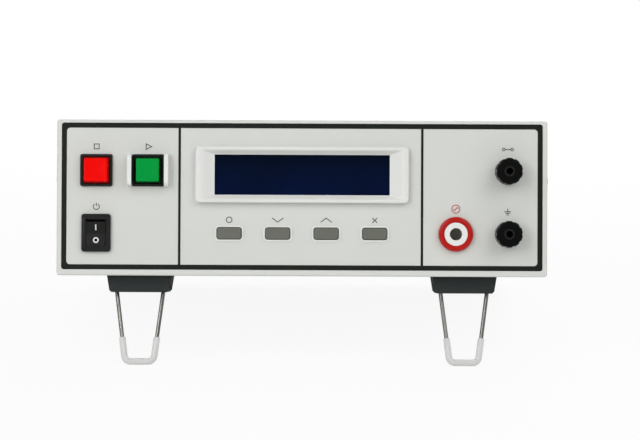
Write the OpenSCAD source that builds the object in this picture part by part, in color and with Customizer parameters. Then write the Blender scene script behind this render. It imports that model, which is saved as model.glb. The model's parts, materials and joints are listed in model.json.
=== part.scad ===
// Bench hipot tester: a low sheet-metal case on two wire tilt legs, with a framed front panel.
// The case is drawn level in millimetres: X to the right, Y from the front frame's face to
// the rear, Z up from the frame's underside. It is then tipped back until the legs and
// the rear feet stand on the bench, which is Z = 0.

/* [Case] */
// Width of the front frame, the widest piece
case_w = 280; // [260:1:340]
// Height of the front frame
case_h = 89; // [86:1:120]
// Depth from the front frame's face to the cover's rear edge
case_d = 300; // [285:1:380]
// Sheet thickness of the cover
cover_t = 1.2; // [0.8:0.1:1.8]
// Sheet thickness of the bottom tray
tray_t = 1.5; // [1:0.1:2]
// Step from the frame's outline in to the cover
cover_step = 0.8; // [0.4:0.1:1.4]
// Outer radius of the cover's two bends
bend_r = 2.5; // [2:0.1:4]
// Height of the tray's turned-up edges above its floor
lip_h = 11; // [9:0.5:13]
// Vent slots in each side of the cover
vent_count = 14; // [6:1:18]
// Width of a vent slot
vent_w = 2.6; // [2:0.1:4]
// Length of a vent slot
vent_l = 36; // [20:1:44]
// Spacing of the vent slots
vent_pitch = 7; // [5:0.5:9]
// Screw thread diameter of the case screws
screw_d = 3; // [2.5:0.5:4]
// Head diameter of the case screws
screw_head_d = 5.6; // [5:0.1:7]
// Clearance between sheets and between a part and its cut-out
fit = 0.1; // [0.05:0.01:0.2]

/* [Front frame] */
// Depth of the frame in front of the cover
frame_d = 8; // [7:0.5:14]
// Length of the spigot that goes inside the cover
spigot_l = 8; // [6:0.5:12]
// Wall of the spigot
spigot_t = 2; // [1.5:0.1:2.5]
// Width of the side rails
rail_side = 2.7; // [2:0.1:5]
// Width of the top rail
rail_top = 1.8; // [1.2:0.1:4]
// Width of the bottom rail
rail_bottom = 3.4; // [2:0.1:6]
// Corner radius of the frame seen from the front
frame_r = 1.8; // [1.5:0.1:4]
// Rounding of the frame's front edges
edge_r = 0.9; // [0.4:0.1:1.5]
// Width of the flange that the panel rests on
flange_w = 5; // [3.5:0.5:6]
// Thickness of that flange
flange_t = 2.4; // [1.5:0.1:3]

/* [Front panel] */
// Thickness of the aluminium panel
panel_t = 2; // [1.5:0.1:3]
// Thickness of the printed film
film_t = 0.5; // [0.3:0.1:0.8]
// How far the film lies behind the frame's face
panel_recess = 0.6; // [0.3:0.1:1.5]
// Width of the black border
border_w = 2.9; // [1.5:0.1:5]
// Thickness of the border
border_t = 0.12; // [0.1:0.01:0.3]
// Inner corner radius of the border
border_r = 2; // [1:0.1:4]
// Width of the two dividing lines
divider_w = 1.4; // [0.8:0.1:3]
// How far the left dividing line lies out of the middle between display and test guard
divider_left = 1.5; // [-1:0.1:2]
// How far the right dividing line lies out of the middle between display and high-voltage ring
divider_right = -0.9; // [-2:0.1:1]
// From the frame's side to the centre of the outer column of controls
outer_col = 22.6; // [20:0.1:24]
// From the frame's side to the centre of the inner column of controls
inner_col = 52.2; // [50:0.1:54]
// From the frame's top to the centre of the upper row
upper_row = 29; // [27:0.1:31]
// From the frame's underside to the centre of the lower row
lower_row = 24.3; // [22:0.1:26]

/* [Display] */
// Width of the moulded surround
display_w = 121.8; // [116:0.1:126]
// Height of the moulded surround
display_h = 32.2; // [31:0.1:34]
// How far the surround stands out of the panel
display_out = 4.2; // [3:0.1:6]
// From the frame's top to the centre of the display
display_row = 31.2; // [30:0.1:33]
// Width of the flat rim round the sloping faces
rim_w = 1.6; // [1:0.1:2.5]
// Width of the viewing opening
window_w = 100; // [94:0.1:102]
// Height of the viewing opening
window_h = 23; // [21:0.1:24]
// Thickness of the tinted pane
pane_t = 2; // [1.5:0.1:2.2]
// Width of the display board
lcd_board_w = 122; // [116:1:128]
// Height of the display board
lcd_board_h = 42; // [40:1:44]
// Depth of the display's metal can
lcd_can_t = 6.5; // [5:0.1:9]
// Thickness of the circuit boards
board_t = 1.6; // [1:0.1:2]

/* [Push buttons] */
// Side of the square flange
button_flange = 18.4; // [17.5:0.1:20]
// How far the flange stands out
button_flange_out = 2; // [1.5:0.1:3]
// Side of the body that goes through the panel
button_body = 16.6; // [16:0.1:17]
// Side of the coloured cap at its skirt
button_cap = 14.8; // [13.5:0.1:15]
// Side of the coloured cap at its face
button_face = 13; // [12:0.1:13.4]
// How far the cap stands out of the panel
button_out = 7; // [6:0.1:9]
// Travel of the cap
button_travel = 3; // [1.5:0.1:3.5]
// Length of the body behind the film's face
button_body_l = 24; // [20:0.5:30]
// Depth of the cap's chamber
chamber_l = 16; // [15:0.1:18]
// Thickness of the two walls that guard the test button
guard_t = 2.4; // [1.5:0.1:3.5]
// Height of those walls over the film
guard_out = 7.6; // [5:0.1:10]

/* [Power switch] */
// Width of the switch flange
switch_flange_w = 16.6; // [16:0.1:19]
// Height of the switch flange
switch_flange_h = 21.6; // [21:0.1:24]
// Height of the switch flange over the film
switch_out = 2; // [1.5:0.1:3]
// Width of the switch body
switch_body_w = 13.4; // [13:0.1:15]
// Height of the switch body
switch_body_h = 19; // [18:0.1:20]
// Depth of the switch body behind the film's face
switch_body_l = 18; // [16:0.5:24]
// Width of the rocker
rocker_w = 11; // [10:0.1:11.4]
// Height of the rocker
rocker_h = 13.8; // [12:0.1:14.5]
// Angle between the rocker's two positions
rocker_throw = 14; // [8:1:16]
// Diameter of the rocker's pivot
rocker_pin_d = 2.4; // [1.6:0.1:3]

/* [Keys] */
// Width of a key
key_w = 13.8; // [12:0.1:16]
// Height of a key
key_h = 6.4; // [5:0.1:8]
// Corner radius of a key
key_r = 1.2; // [0.8:0.1:2]
// Spacing of the four keys
key_pitch = 27.7; // [24:0.1:29]
// Gap round a key in its cut-out
key_gap = 0.35; // [0.2:0.05:0.6]
// Height of a key over the film
key_out = 1.3; // [1:0.1:2]
// Travel of a key
key_travel = 0.8; // [0.4:0.1:1]
// Width of the raised ring round a key
key_ring_w = 1.1; // [0.6:0.1:1.6]
// Height of that ring over the film
key_ring_out = 0.45; // [0.2:0.05:0.6]

/* [Terminals] */
// Outer diameter of the high-voltage ring
hv_ring_d = 19.8; // [18:0.1:22]
// Height of that ring over the film
hv_ring_out = 4; // [3:0.1:6]
// Diameter of the white insulator
hv_body_d = 13.2; // [12:0.1:14]
// Bore of the high-voltage socket
hv_bore_d = 7.1; // [6:0.1:8]
// Depth of that bore
hv_bore_l = 22; // [18:0.5:26]
// Diameter of a binding post's cap
post_cap_d = 15.2; // [14:0.1:18]
// Length of a binding post's cap
post_cap_l = 12; // [10:0.1:15]
// Finger grooves round a cap
post_flutes = 10; // [8:1:14]
// Height of the insulating base
post_base_out = 2.6; // [2:0.1:4]
// Diameter of the metal stud
post_stud_d = 6; // [5.5:0.1:6.5]
// Bore of the stud for a 4 mm plug
plug_bore_d = 4; // [3.9:0.01:4.1]
// Depth of the plug bore
plug_bore_l = 14; // [10:0.5:14.5]

/* [Feet and legs] */
// From the frame's side to the centre of a front foot
foot_x = 46.5; // [40:0.5:55]
// From the frame's side to the centre of a rear foot
rear_foot_x = 30; // [26:0.5:40]
// Width of a foot at its top
foot_top_w = 37; // [35:0.5:42]
// Width of a foot at its underside
foot_low_w = 34; // [33.5:0.1:35]
// How far a foot hangs below the front frame
foot_drop = 9.6; // [8.5:0.1:12]
// Length of a foot from front to rear
foot_l = 34; // [32:0.5:40]
// From the cover's rear edge to the rear foot
rear_foot_gap = 14; // [10:0.5:30]
// Diameter of the leg wire
wire_d = 2.4; // [2:0.1:2.6]
// Length of a leg from its pivot to its foot bar
leg_l = 45; // [38:0.5:52]
// Width of a leg between the wire centres at its pivot
leg_top_w = 28; // [27:0.1:28.4]
// Width of a leg between the wire centres at its foot bar
leg_low_w = 16.4; // [14:0.1:22]
// Bend radius at the foot bar
leg_bend_r = 3.6; // [3:0.1:5]
// Bend radius at the pivot ends
pivot_bend_r = 1.6; // [1.4:0.1:1.8]
// Outer diameter of the soft sleeve on the leg
sleeve_d = 3.8; // [3.2:0.1:4.6]
// Length of the sleeve up each wire
sleeve_l = 10; // [6:0.5:16]
// How far the open leg leans forward
leg_lean = 6; // [2:0.5:10]
// Height of the pivot above the foot's underside
pivot_up = 4.8; // [4.2:0.1:5.2]
// From the front of a foot back to the pivot
pivot_back = 11; // [9:0.1:13]

/* [Rear panel] */
// Thickness of the rear panel
rear_t = 1.5; // [1:0.1:2]
// How far the rear panel lies inside the cover's edge
rear_recess = 1; // [0.5:0.1:3]
// Length of the rear panel's turned-in top edge
rear_flange_l = 12; // [9:0.5:16]
// From the left side of the case to the mains inlet
inlet_col = 38; // [34:0.5:42]
// Height of the mains inlet above the case's underside
inlet_row = 46; // [40:0.5:50]
// From the left side of the case to the fuse holder
fuse_col = 82; // [80:0.5:86]
// From the left side of the case to the voltage selector
selector_col = 112; // [110:0.5:116]
// Width of the selector's slot, with its knob at one end
selector_w = 14; // [12:0.1:16]
// Travel of the selector's knob
selector_travel = 6; // [4:0.1:7]
// Spacing of the two nine-pin connectors, one above the other
remote_pitch = 24; // [20:0.5:28]
// From the left side of the case to those connectors
remote_col = 158; // [154:0.5:162]
// From the left side of the case to the earth terminal
earth_col = 97; // [96:0.5:98]
// Height of the earth terminal above the case's underside
earth_row = 22; // [20:0.5:26]
// Side of the square fan
fan_w = 60; // [56:1:64]
// Depth of the fan
fan_t = 25; // [20:1:28]
// From the right side of the case to the fan's axis
fan_col = 50; // [46:0.5:54]
// Blades of the fan
fan_blades = 7; // [5:1:9]
// Width of a slot in the fan grille
grille_w = 3; // [2:0.1:4]
// Spacing of the grille slots
grille_pitch = 5; // [4.5:0.1:7]

/* [Inside] */
// Width of the control board
control_w = 140; // [110:1:146]
// Depth of the control board
control_l = 120; // [90:1:140]
// Height of the spacers under the control board
spacer_h = 8; // [5:0.5:12]
// Width of the high-voltage transformer's core
hv_core_w = 72; // [60:1:76]
// Stack of the high-voltage transformer's core
hv_core_t = 40; // [30:1:48]
// Width of the supply transformer's core
supply_core_w = 60; // [54:1:66]
// Stack of the supply transformer's core
supply_core_t = 34; // [26:1:44]
// Width of the heat sink
sink_w = 66; // [50:1:72]
// Length of the heat sink
sink_l = 56; // [40:1:60]
// Height of the heat sink
sink_h = 48; // [30:1:60]
// Fins of the heat sink
sink_fins = 10; // [6:1:12]

/* [Hidden] */
$fn = 48;
eps = 0.5;

half_w = case_w / 2;
stack = film_t + panel_t;
panel_y = panel_recess + film_t;
flange_y = panel_recess + stack;
pocket_w = case_w - 2 * rail_side;
pocket_h = case_h - rail_top - rail_bottom;
pocket_z = rail_bottom + pocket_h / 2;
pocket_r = 1.5;
shell_x = half_w - cover_step - cover_t;
inner_x = shell_x - fit;
floor_z = cover_step + tray_t;
roof_z = case_h - cover_step - cover_t - fit;
spigot_end = frame_d + spigot_l;
rear_y = case_d - rear_recess;
rear_in = rear_y - rear_t;
lip_top = floor_z + lip_h;
lip_screw_z = floor_z + lip_h / 2;
screw_l = 6;
hole_d = screw_d + 2 * fit;
head_sink_t = tray_t - fit;
head_taper = (screw_head_d - screw_d) / head_sink_t;

left_x = outer_col - half_w;
test_x = inner_col - half_w;
post_x = half_w - outer_col;
hv_x = half_w - inner_col;
upper_z = case_h - upper_row;
lower_z = lower_row;
display_z = case_h - display_row;
function key_x(k) = (k - 1.5) * key_pitch;

pane_lip = 1.6;
pane_w = window_w + 2 * pane_lip;
pane_h = window_h + 2 * pane_lip;
pane_front = -0.3;
display_wall = 0.8;
spigot_w = pane_w + 2 * (fit + display_wall);
spigot_h = pane_h + 2 * (fit + display_wall);
can_front = stack + fit;
board_front = can_front + lcd_can_t;
lcd_post_x = lcd_board_w / 2 - 3.5;
lcd_post_z = lcd_board_h / 2 - 3.5;
spacer_d = 5;

cap_skirt = 5;
stem_d = 5;
stem_room = 1.5;
stem_l = chamber_l - cap_skirt - button_travel - stem_room;
spring_r = 4;
spring_wire_d = 0.8;
spring_turns = 6;
cap_hole = button_cap + 0.4;
guard_base_t = 0.8;
guard_wall_x = button_flange / 2 + fit;
guard_inner_x = test_x + guard_wall_x + guard_t;
blade_w = 4.8;
blade_t = 0.8;
blade_l = 7;

rocker_opening_h = rocker_h + 1.4;
rocker_depth = 2;
switch_chamber_l = 8;

lip_key = 1.2;
key_lip_t = 1;
key_back = stack + fit + key_lip_t;
tact_front = key_back + key_travel + 0.15;
board_gap = 0.5;
keypad_front = board_front + board_t + board_gap;
tact_t = keypad_front - tact_front;
keypad_w = 3 * key_pitch + 30;
keypad_h = 15;
keypad_post_x = keypad_w / 2 - 4;

hv_face = hv_ring_out - 0.4;
hv_body_l = 30;
hv_pin_d = 4.5;
hv_tail_l = 38;
hv_nut_d = 22;
hv_nut_t = 5;
post_neck_d = 9;
post_front = post_base_out + 0.2 + post_cap_l;
post_tail_l = 18;
post_nut_d = 12.5;
post_nut_t = 4;

foot_mid_x = half_w - foot_x;
rear_foot_mid_x = half_w - rear_foot_x;
foot_y = frame_d + 1;
foot_top_z = cover_step;
foot_low_z = -foot_drop;
foot_roof = 2.4;
foot_room_w = leg_top_w + wire_d + 0.6;
foot_screw_y = 26;
boss_d = 9;
boss_drop = 5;
rear_foot_y = case_d - rear_foot_gap - foot_l;
rear_foot_end = case_d - rear_foot_gap;
pivot_y = foot_y + pivot_back;
pivot_z = foot_low_z + pivot_up;
leg_slope = atan((leg_top_w - leg_low_w) / 2 / leg_l);
leg_turn = 90 - leg_slope;
leg_run = leg_l / cos(leg_slope);
low_tangent = leg_bend_r * tan(leg_turn / 2);
top_tangent = pivot_bend_r * tan(leg_turn / 2);
pivot_end = foot_room_w / 2 + 1.4;
foot_bar_y = pivot_y - leg_l * sin(leg_lean);
foot_bar_z = pivot_z - leg_l * cos(leg_lean);
pin_fit = 0.05;

inlet_x = inlet_col - half_w;
fuse_x = fuse_col - half_w;
selector_x = selector_col - half_w;
remote_x = remote_col - half_w;
earth_x = earth_col - half_w;
fan_x = half_w - fan_col;
fan_z = lip_top + 1 + fan_w / 2;
inlet_w = 27;
inlet_h = 20;
inlet_l = 24;
fuse_row = inlet_row;
fuse_d = 12.6;
fuse_rim = 2.5;
fuse_rim_t = 2;
fuse_body_l = 30;
fuse_cap_d = 14;
fuse_cap_gap = 0.2;
fuse_carrier_d = 8;
fuse_carrier_l = 21;
fuse_room = 1;
fuse_out = 9;
selector_h = 7;
selector_wall = 1;
selector_ear = 6;
selector_rim = 3;
selector_flange_w = selector_w + 2 * selector_ear;
selector_flange_h = selector_h + 2 * selector_rim;
remote_w = 19.4;
remote_h = 10.6;
remote_l = 10;
remote_out = 5.8;
remote_flange_w = 31;
remote_flange_h = 12.5;
remote_flange_t = 1;
remote_shell_w = 16.8;
remote_shell_low_w = 14;
remote_shell_h = 8.2;
remote_post_x = 12.5;
remote_post_d = 5;
contact_pitch = 2.77;
contact_row = 2.8;
earth_out = 13;
earth_d = 4;
duct_d = fan_w - 3;
hub_d = 24;
fan_bolt = fan_w - 10;

hv_core_y = 66;
hv_core_x = hv_x;
control_x = hv_core_x - hv_core_w / 2 - 2 - control_w / 2;
control_y = 56;
control_z = floor_z + spacer_h;
sink_y = rear_in - fan_t - 14 - sink_l;
supply_x = inlet_x + 4;
supply_y = control_y + control_l + supply_core_w / 3;

// The tilt at which the sleeves and the rear feet's rear edges touch one bench
stand_a = rear_foot_end - foot_bar_y;
stand_b = foot_bar_z - foot_low_z;
tilt = asin(sleeve_d / 2 / norm([stand_a, stand_b])) - atan2(stand_b, stand_a);
lift = rear_foot_end * sin(tilt) - foot_low_z * cos(tilt);
function stood_y(y, z) = y * cos(tilt) + z * sin(tilt);
front_reach = stood_y(panel_recess - post_front, lower_z - post_cap_d / 2);
rear_reach = max(stood_y(case_d, case_h - cover_step), stood_y(rear_y + fuse_out, fuse_row + fuse_cap_d / 2));
mid_y = (front_reach + rear_reach) / 2;

// Tip the level case back and set it on the bench, centred over the origin
module stand() {
    translate([0, -mid_y, lift]) rotate([-tilt, 0, 0]) children();
}

// Work plane on the film's face: X right, Y up, Z out towards the user
module on_front(x, z) {
    translate([x, panel_recess, z]) rotate([90, 0, 0]) children();
}

// Work plane on the rear panel's outer face: Y up, Z out to the rear
module on_rear(x, z) {
    translate([x, rear_y, z]) rotate([90, 0, 180]) children();
}

// Flat rectangle with round corners, centred
module rounded(w, h, r) {
    square([w - 2 * r, h], center = true);
    square([w, h - 2 * r], center = true);
    for (sx = [-1, 1], sy = [-1, 1]) {
        translate([sx * (w / 2 - r), sy * (h / 2 - r)]) circle(r);
    }
}

// Upright plate in the XZ plane from y0 to y1
module upright(y0, y1) {
    translate([0, y1, 0]) rotate([90, 0, 0]) linear_extrude(y1 - y0) children();
}

// Straight slot with round ends, standing, centred
module slot(w, l) {
    square([w, l - w], center = true);
    for (s = [-1, 1]) {
        translate([0, s * (l - w) / 2]) circle(d = w);
    }
}

// Round wire along a flat route of [straight length, bend radius, bend angle] steps.
// A bend is drawn a hair thinner, as bent wire is, and each straight laps a little into it.
module wire_run(steps, d, i = 0) {
    lap = 0.1;
    thin = 0.12;
    if (i < len(steps)) {
        run = steps[i][0];
        r = steps[i][1];
        turn = steps[i][2];
        side = sign(turn);
        before = i > 0 ? lap : 0;
        after = turn != 0 ? lap : 0;
        translate([-before, 0, 0]) rotate([0, 90, 0]) cylinder(d = d, h = before + run + after);
        if (turn != 0) {
            translate([run, side * r, 0])
                rotate([0, 0, side > 0 ? -90 : 90 + turn])
                rotate_extrude(angle = abs(turn)) translate([r, 0]) circle(d = d - thin);
        }
        translate([run + r * sin(abs(turn)), side * r * (1 - cos(turn)), 0])
            rotate([0, 0, turn]) wire_run(steps, d, i + 1);
    }
}

// Pan-head screw, head standing on Z = 0, with a cross recess
module pan_screw(l) {
    head_t = 1.9;
    rim_t = 0.9;
    difference() {
        union() {
            cylinder(d = screw_head_d, h = rim_t);
            translate([0, 0, rim_t])
                cylinder(d1 = screw_head_d, d2 = screw_head_d - 2 * rim_t, h = head_t - rim_t);
        }
        for (a = [0, 90]) {
            rotate(a) translate([-1.5, -0.35, head_t - 1]) cube([3, 0.7, 2]);
        }
    }
    translate([0, 0, -l]) cylinder(d = screw_d, h = l + 0.01);
}

// Countersunk screw, its head flush with Z = 0, with a cross recess
module flat_screw(l) {
    recess = 0.8;
    difference() {
        union() {
            translate([0, 0, -head_sink_t]) cylinder(d1 = screw_d, d2 = screw_head_d, h = head_sink_t);
            translate([0, 0, -l]) cylinder(d = screw_d, h = l - head_sink_t + 0.01);
        }
        for (a = [0, 90]) {
            rotate(a) translate([-1.3, -0.35, -recess]) cube([2.6, 0.7, 2 * recess]);
        }
    }
}

// Places of the screws through the cover's sides: [y, z]
side_screws = [[frame_d + spigot_l / 2, case_h * 0.62], [case_d * 0.35, lip_screw_z],
    [case_d * 0.9, lip_screw_z]];
// Places of the screws through the cover's roof: [x, y]
roof_screws = [for (s = [-1, 1]) [s * case_w * 0.38, rear_in - rear_flange_l / 2]];
// Places of the screws through the tray into the spigot: [x, y]
floor_screws = [for (s = [-1, 1]) [s * case_w * 0.2, frame_d + spigot_l / 2]];
// Places of the screws through the rear panel into the tray: x
rear_screws = [-case_w * 0.45, 0, case_w * 0.45];
// Places of the feet's screws: [x, y]
foot_screw_places = [for (s = [-1, 1], p = [[foot_mid_x, foot_y], [rear_foot_mid_x, rear_foot_y]])
    [s * p[0], p[1] + foot_screw_y]];

module each_side_screw() {
    for (s = [-1, 1], p = side_screws) {
        translate([s * (half_w - cover_step), p[0], p[1]]) rotate([0, s * 90, 0]) children();
    }
}

module each_roof_screw() {
    for (p = roof_screws) {
        translate([p[0], p[1], case_h - cover_step]) children();
    }
}

module each_floor_screw() {
    for (p = floor_screws) {
        translate([p[0], p[1], cover_step]) rotate([180, 0, 0]) children();
    }
}

module each_rear_screw() {
    for (x = rear_screws) {
        on_rear(x, lip_screw_z) children();
    }
}

module screw_hole() {
    translate([0, 0, -screw_l - eps]) cylinder(d = hole_d, h = screw_l + 2 * eps);
}

module sunk_hole() {
    screw_hole();
    translate([0, 0, -head_sink_t])
        cylinder(d1 = screw_d, d2 = screw_head_d + eps * head_taper, h = head_sink_t + eps);
}

// Cross-section of the cover, grown in or out from its outer face
module cover_section(inset) {
    r = bend_r - inset;
    x = half_w - cover_step - inset;
    top = case_h - cover_step - inset;
    low = cover_step - (inset > 0 ? eps : 0);
    translate([-x, low]) square([2 * x, top - r - low]);
    translate([r - x, low]) square([2 * (x - r), top - low]);
    for (s = [-1, 1]) {
        translate([s * (x - r), top - r]) circle(r);
    }
}

module top_cover() {
    vents_y = case_d * 0.62;
    color("#DCDDD8") difference() {
        upright(frame_d, case_d) difference() {
            cover_section(0);
            cover_section(cover_t);
        }
        for (i = [0 : vent_count - 1]) {
            translate([0, vents_y + (i - (vent_count - 1) / 2) * vent_pitch, case_h * 0.52])
                rotate([90, 0, 90]) linear_extrude(case_w, center = true) slot(vent_w, vent_l);
        }
        each_side_screw() screw_hole();
        each_roof_screw() screw_hole();
    }
}

module bottom_tray() {
    color("#C9CBC6") difference() {
        union() {
            translate([-inner_x, frame_d, cover_step]) cube([2 * inner_x, rear_y - frame_d, tray_t]);
            for (s = [-1, 1]) {
                translate([s * (inner_x - tray_t / 2) - tray_t / 2, spigot_end + 1, cover_step])
                    cube([tray_t, rear_in - tray_t - spigot_end - 2, tray_t + lip_h]);
            }
            translate([-inner_x, rear_in - tray_t, cover_step]) cube([2 * inner_x, tray_t, tray_t + lip_h]);
        }
        each_side_screw() screw_hole();
        each_floor_screw() sunk_hole();
        each_rear_screw() screw_hole();
        for (p = foot_screw_places) {
            translate([p[0], p[1], 0]) cylinder(d = hole_d, h = floor_z + eps);
        }
        for (i = [-6 : 6]) {
            translate([i * vent_pitch * 1.6, case_d * 0.55, 0])
                linear_extrude(floor_z + eps) slot(vent_w, vent_l);
        }
    }
}

// Outlines cut from the rear panel, seen in the XZ plane
module rear_holes() {
    translate([inlet_x, inlet_row]) square([inlet_w + 2 * fit, inlet_h + 2 * fit], center = true);
    translate([fuse_x, fuse_row]) circle(d = fuse_d + 2 * fit);
    translate([selector_x, inlet_row])
        square([selector_w, selector_h] + 2 * (selector_wall + fit) * [1, 1], center = true);
    for (s = [-1, 1]) {
        translate([remote_x, inlet_row + s * remote_pitch / 2])
            square([remote_w + 2 * fit, remote_h + 2 * fit], center = true);
    }
    translate([earth_x, earth_row]) circle(d = earth_d + 2 * fit);
    for (sx = [-1, 1], sz = [-1, 1]) {
        translate([fan_x + sx * fan_bolt / 2, fan_z + sz * fan_bolt / 2]) circle(d = hole_d);
    }
    reach = floor((duct_d / 2 - grille_w) / grille_pitch);
    for (i = [-reach : reach]) {
        chord = 2 * sqrt(pow(duct_d / 2, 2) - pow(abs(i) * grille_pitch + grille_w / 2, 2));
        half = (chord - grille_w) / 2;
        for (s = [-1, 1]) {
            translate([fan_x + i * grille_pitch, fan_z + s * (half / 2 + grille_w / 2)])
                slot(grille_w, half);
        }
    }
}

module rear_panel() {
    h = roof_z - floor_z;
    color("#C9CBC6") difference() {
        union() {
            upright(rear_in, rear_y) difference() {
                translate([0, floor_z + h / 2]) square([2 * inner_x, h], center = true);
                rear_holes();
            }
            translate([-inner_x + bend_r, rear_in - rear_flange_l, roof_z - rear_t])
                cube([2 * (inner_x - bend_r), rear_flange_l + rear_t / 2, rear_t]);
        }
        each_rear_screw() screw_hole();
        each_roof_screw() screw_hole();
        for (s = [-1, 1]) {
            translate([s * inner_x, rear_in - eps, roof_z]) rotate([-90, 0, 0])
                cylinder(r = bend_r, h = rear_t + 2 * eps);
        }
    }
}

// Rectangle with its two corners at y = 0 rounded, length l along y, from a to b across
module nose(l, a, b) {
    translate([edge_r, a]) square([l - edge_r, b - a]);
    translate([0, a + edge_r]) square([l, b - a - 2 * edge_r]);
    translate([edge_r, a + edge_r]) circle(edge_r);
    translate([edge_r, b - edge_r]) circle(edge_r);
}

module front_frame() {
    spigot_low = floor_z + fit;
    spigot_h = roof_z - spigot_low;
    color("#DCDDD8") difference() {
        union() {
            intersection() {
                upright(0, frame_d) translate([0, case_h / 2]) rounded(case_w, case_h, frame_r);
                translate([-case_w, 0, 0]) rotate([90, 0, 90]) linear_extrude(2 * case_w)
                    nose(frame_d, 0, case_h);
                translate([0, 0, -case_h]) linear_extrude(3 * case_h) rotate(90) mirror([0, 1])
                    nose(frame_d, -half_w, half_w);
            }
            upright(frame_d - eps, spigot_end) translate([0, spigot_low + spigot_h / 2])
                rounded(2 * inner_x, spigot_h, bend_r);
        }
        upright(-eps, flange_y) translate([0, pocket_z]) rounded(pocket_w, pocket_h, pocket_r);
        upright(-eps, spigot_end + eps) translate([0, pocket_z])
            rounded(pocket_w - 2 * flange_w, pocket_h - 2 * flange_w, border_r);
        upright(flange_y + flange_t, spigot_end + eps) translate([0, spigot_low + spigot_h / 2])
            rounded(2 * (inner_x - spigot_t), spigot_h - 2 * spigot_t, pocket_r);
        each_side_screw() screw_hole();
        each_floor_screw() screw_hole();
    }
}

// Outlines cut from the panel and its film, seen in the XZ plane
module panel_holes() {
    translate([0, display_z]) square([spigot_w + 2 * fit, spigot_h + 2 * fit], center = true);
    for (x = [left_x, test_x]) {
        translate([x, upper_z]) square(button_body + 2 * fit, center = true);
    }
    translate([left_x, lower_z]) square([switch_body_w + 2 * fit, switch_body_h + 2 * fit], center = true);
    for (k = [0 : 3]) {
        translate([key_x(k), lower_z]) rounded(key_w + 2 * key_gap, key_h + 2 * key_gap, key_r + key_gap);
    }
    for (z = [upper_z, lower_z]) {
        translate([post_x, z]) circle(d = post_neck_d + 2 * fit);
    }
    translate([hv_x, lower_z]) circle(d = hv_body_d + 2 * fit);
}

module panel_outline(inset) {
    translate([0, pocket_z]) rounded(pocket_w - 2 * inset, pocket_h - 2 * inset, pocket_r);
}

module front_panel() {
    color("#C4C7C2") upright(panel_y, flange_y) difference() {
        panel_outline(fit);
        panel_holes();
    }
}

module panel_film() {
    color("#D1D3CE") {
        upright(panel_recess, panel_y) difference() {
            panel_outline(fit);
            panel_holes();
        }
        for (k = [0 : 3]) {
            on_front(key_x(k), lower_z) linear_extrude(key_ring_out) difference() {
                rounded(key_w + 2 * (key_gap + key_ring_w), key_h + 2 * (key_gap + key_ring_w),
                    key_r + key_gap + key_ring_w);
                rounded(key_w + 2 * key_gap, key_h + 2 * key_gap, key_r + key_gap);
            }
        }
    }
}

module panel_border() {
    inner_h = pocket_h - 2 * border_w;
    color("#262B26") upright(panel_recess - border_t, panel_recess) {
        difference() {
            panel_outline(fit);
            translate([0, pocket_z]) rounded(pocket_w - 2 * border_w, inner_h, border_r);
        }
        for (x = [-divider_left - (display_w / 2 - guard_inner_x) / 2,
            divider_right + (display_w / 2 + hv_x - hv_ring_d / 2) / 2]) {
            translate([x, pocket_z]) square([divider_w, inner_h + border_w], center = true);
        }
    }
}

module case_screws() {
    color("#B9BBB8") {
        each_side_screw() pan_screw(screw_l);
        each_roof_screw() pan_screw(screw_l);
        each_floor_screw() flat_screw(screw_l);
        each_rear_screw() pan_screw(screw_l);
    }
}

// Outline of a foot seen from the front, hung from the case's underside
module foot_section() {
    chamfer = 1.2;
    a = foot_top_w / 2;
    b = foot_low_w / 2;
    polygon([[-a, foot_top_z], [a, foot_top_z], [b, foot_low_z + chamfer], [b - chamfer, foot_low_z],
        [chamfer - b, foot_low_z], [-b, foot_low_z + chamfer]]);
}

module foot_boss_hole() {
    translate([0, foot_screw_y, foot_low_z - eps]) {
        cylinder(d = screw_head_d + 0.6, h = foot_top_z - boss_drop - foot_low_z + 2 * eps);
        cylinder(d = hole_d, h = foot_top_z - foot_low_z + 2 * eps);
    }
}

// Y of the face that an open leg leans on, at height z
function stop_y(z) = pivot_back - (wire_d / 2 + fit) / cos(leg_lean) + (z - pivot_z) * tan(leg_lean);

// Foot with a room for the leg that is open below and behind
module front_foot(side) {
    room_z = foot_top_z - foot_roof;
    deep = foot_low_z - eps;
    color("#2D3231") translate([side * foot_mid_x, foot_y, 0]) difference() {
        union() {
            difference() {
                upright(0, foot_l) foot_section();
                rotate([90, 0, 90]) linear_extrude(foot_room_w, center = true)
                    polygon([[stop_y(room_z), room_z], [stop_y(deep), deep], [foot_l + eps, deep],
                        [foot_l + eps, room_z]]);
            }
            translate([0, foot_screw_y, foot_top_z - boss_drop - 1])
                cylinder(d = boss_d, h = boss_drop);
        }
        foot_boss_hole();
        translate([0, pivot_back, pivot_z]) rotate([0, 90, 0])
            cylinder(d = wire_d + 2 * pin_fit, h = 2 * (pivot_end + 2 * fit), center = true);
    }
}

module rear_feet() {
    wall = 3;
    color("#2D3231") for (s = [-1, 1]) {
        translate([s * rear_foot_mid_x, rear_foot_y, 0]) difference() {
            union() {
                difference() {
                    upright(0, foot_l) foot_section();
                    translate([-foot_room_w / 2, wall, foot_low_z - eps])
                        cube([foot_room_w, foot_l - 2 * wall, foot_top_z - foot_roof - foot_low_z + eps]);
                }
                translate([0, foot_screw_y, foot_top_z - boss_drop - 1])
                    cylinder(d = boss_d, h = boss_drop);
            }
            foot_boss_hole();
        }
    }
}

module foot_screws() {
    color("#B9BBB8") for (p = foot_screw_places) {
        translate([p[0], p[1], foot_top_z - boss_drop + eps]) rotate([180, 0, 0])
            pan_screw(boss_drop + tray_t + 1);
    }
}

// Place of an open leg: X across, Y down the wires, from the pivot's middle
module on_leg(side) {
    translate([side * foot_mid_x, pivot_y, pivot_z]) rotate([-90 - leg_lean, 0, 0]) children();
}

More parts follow.
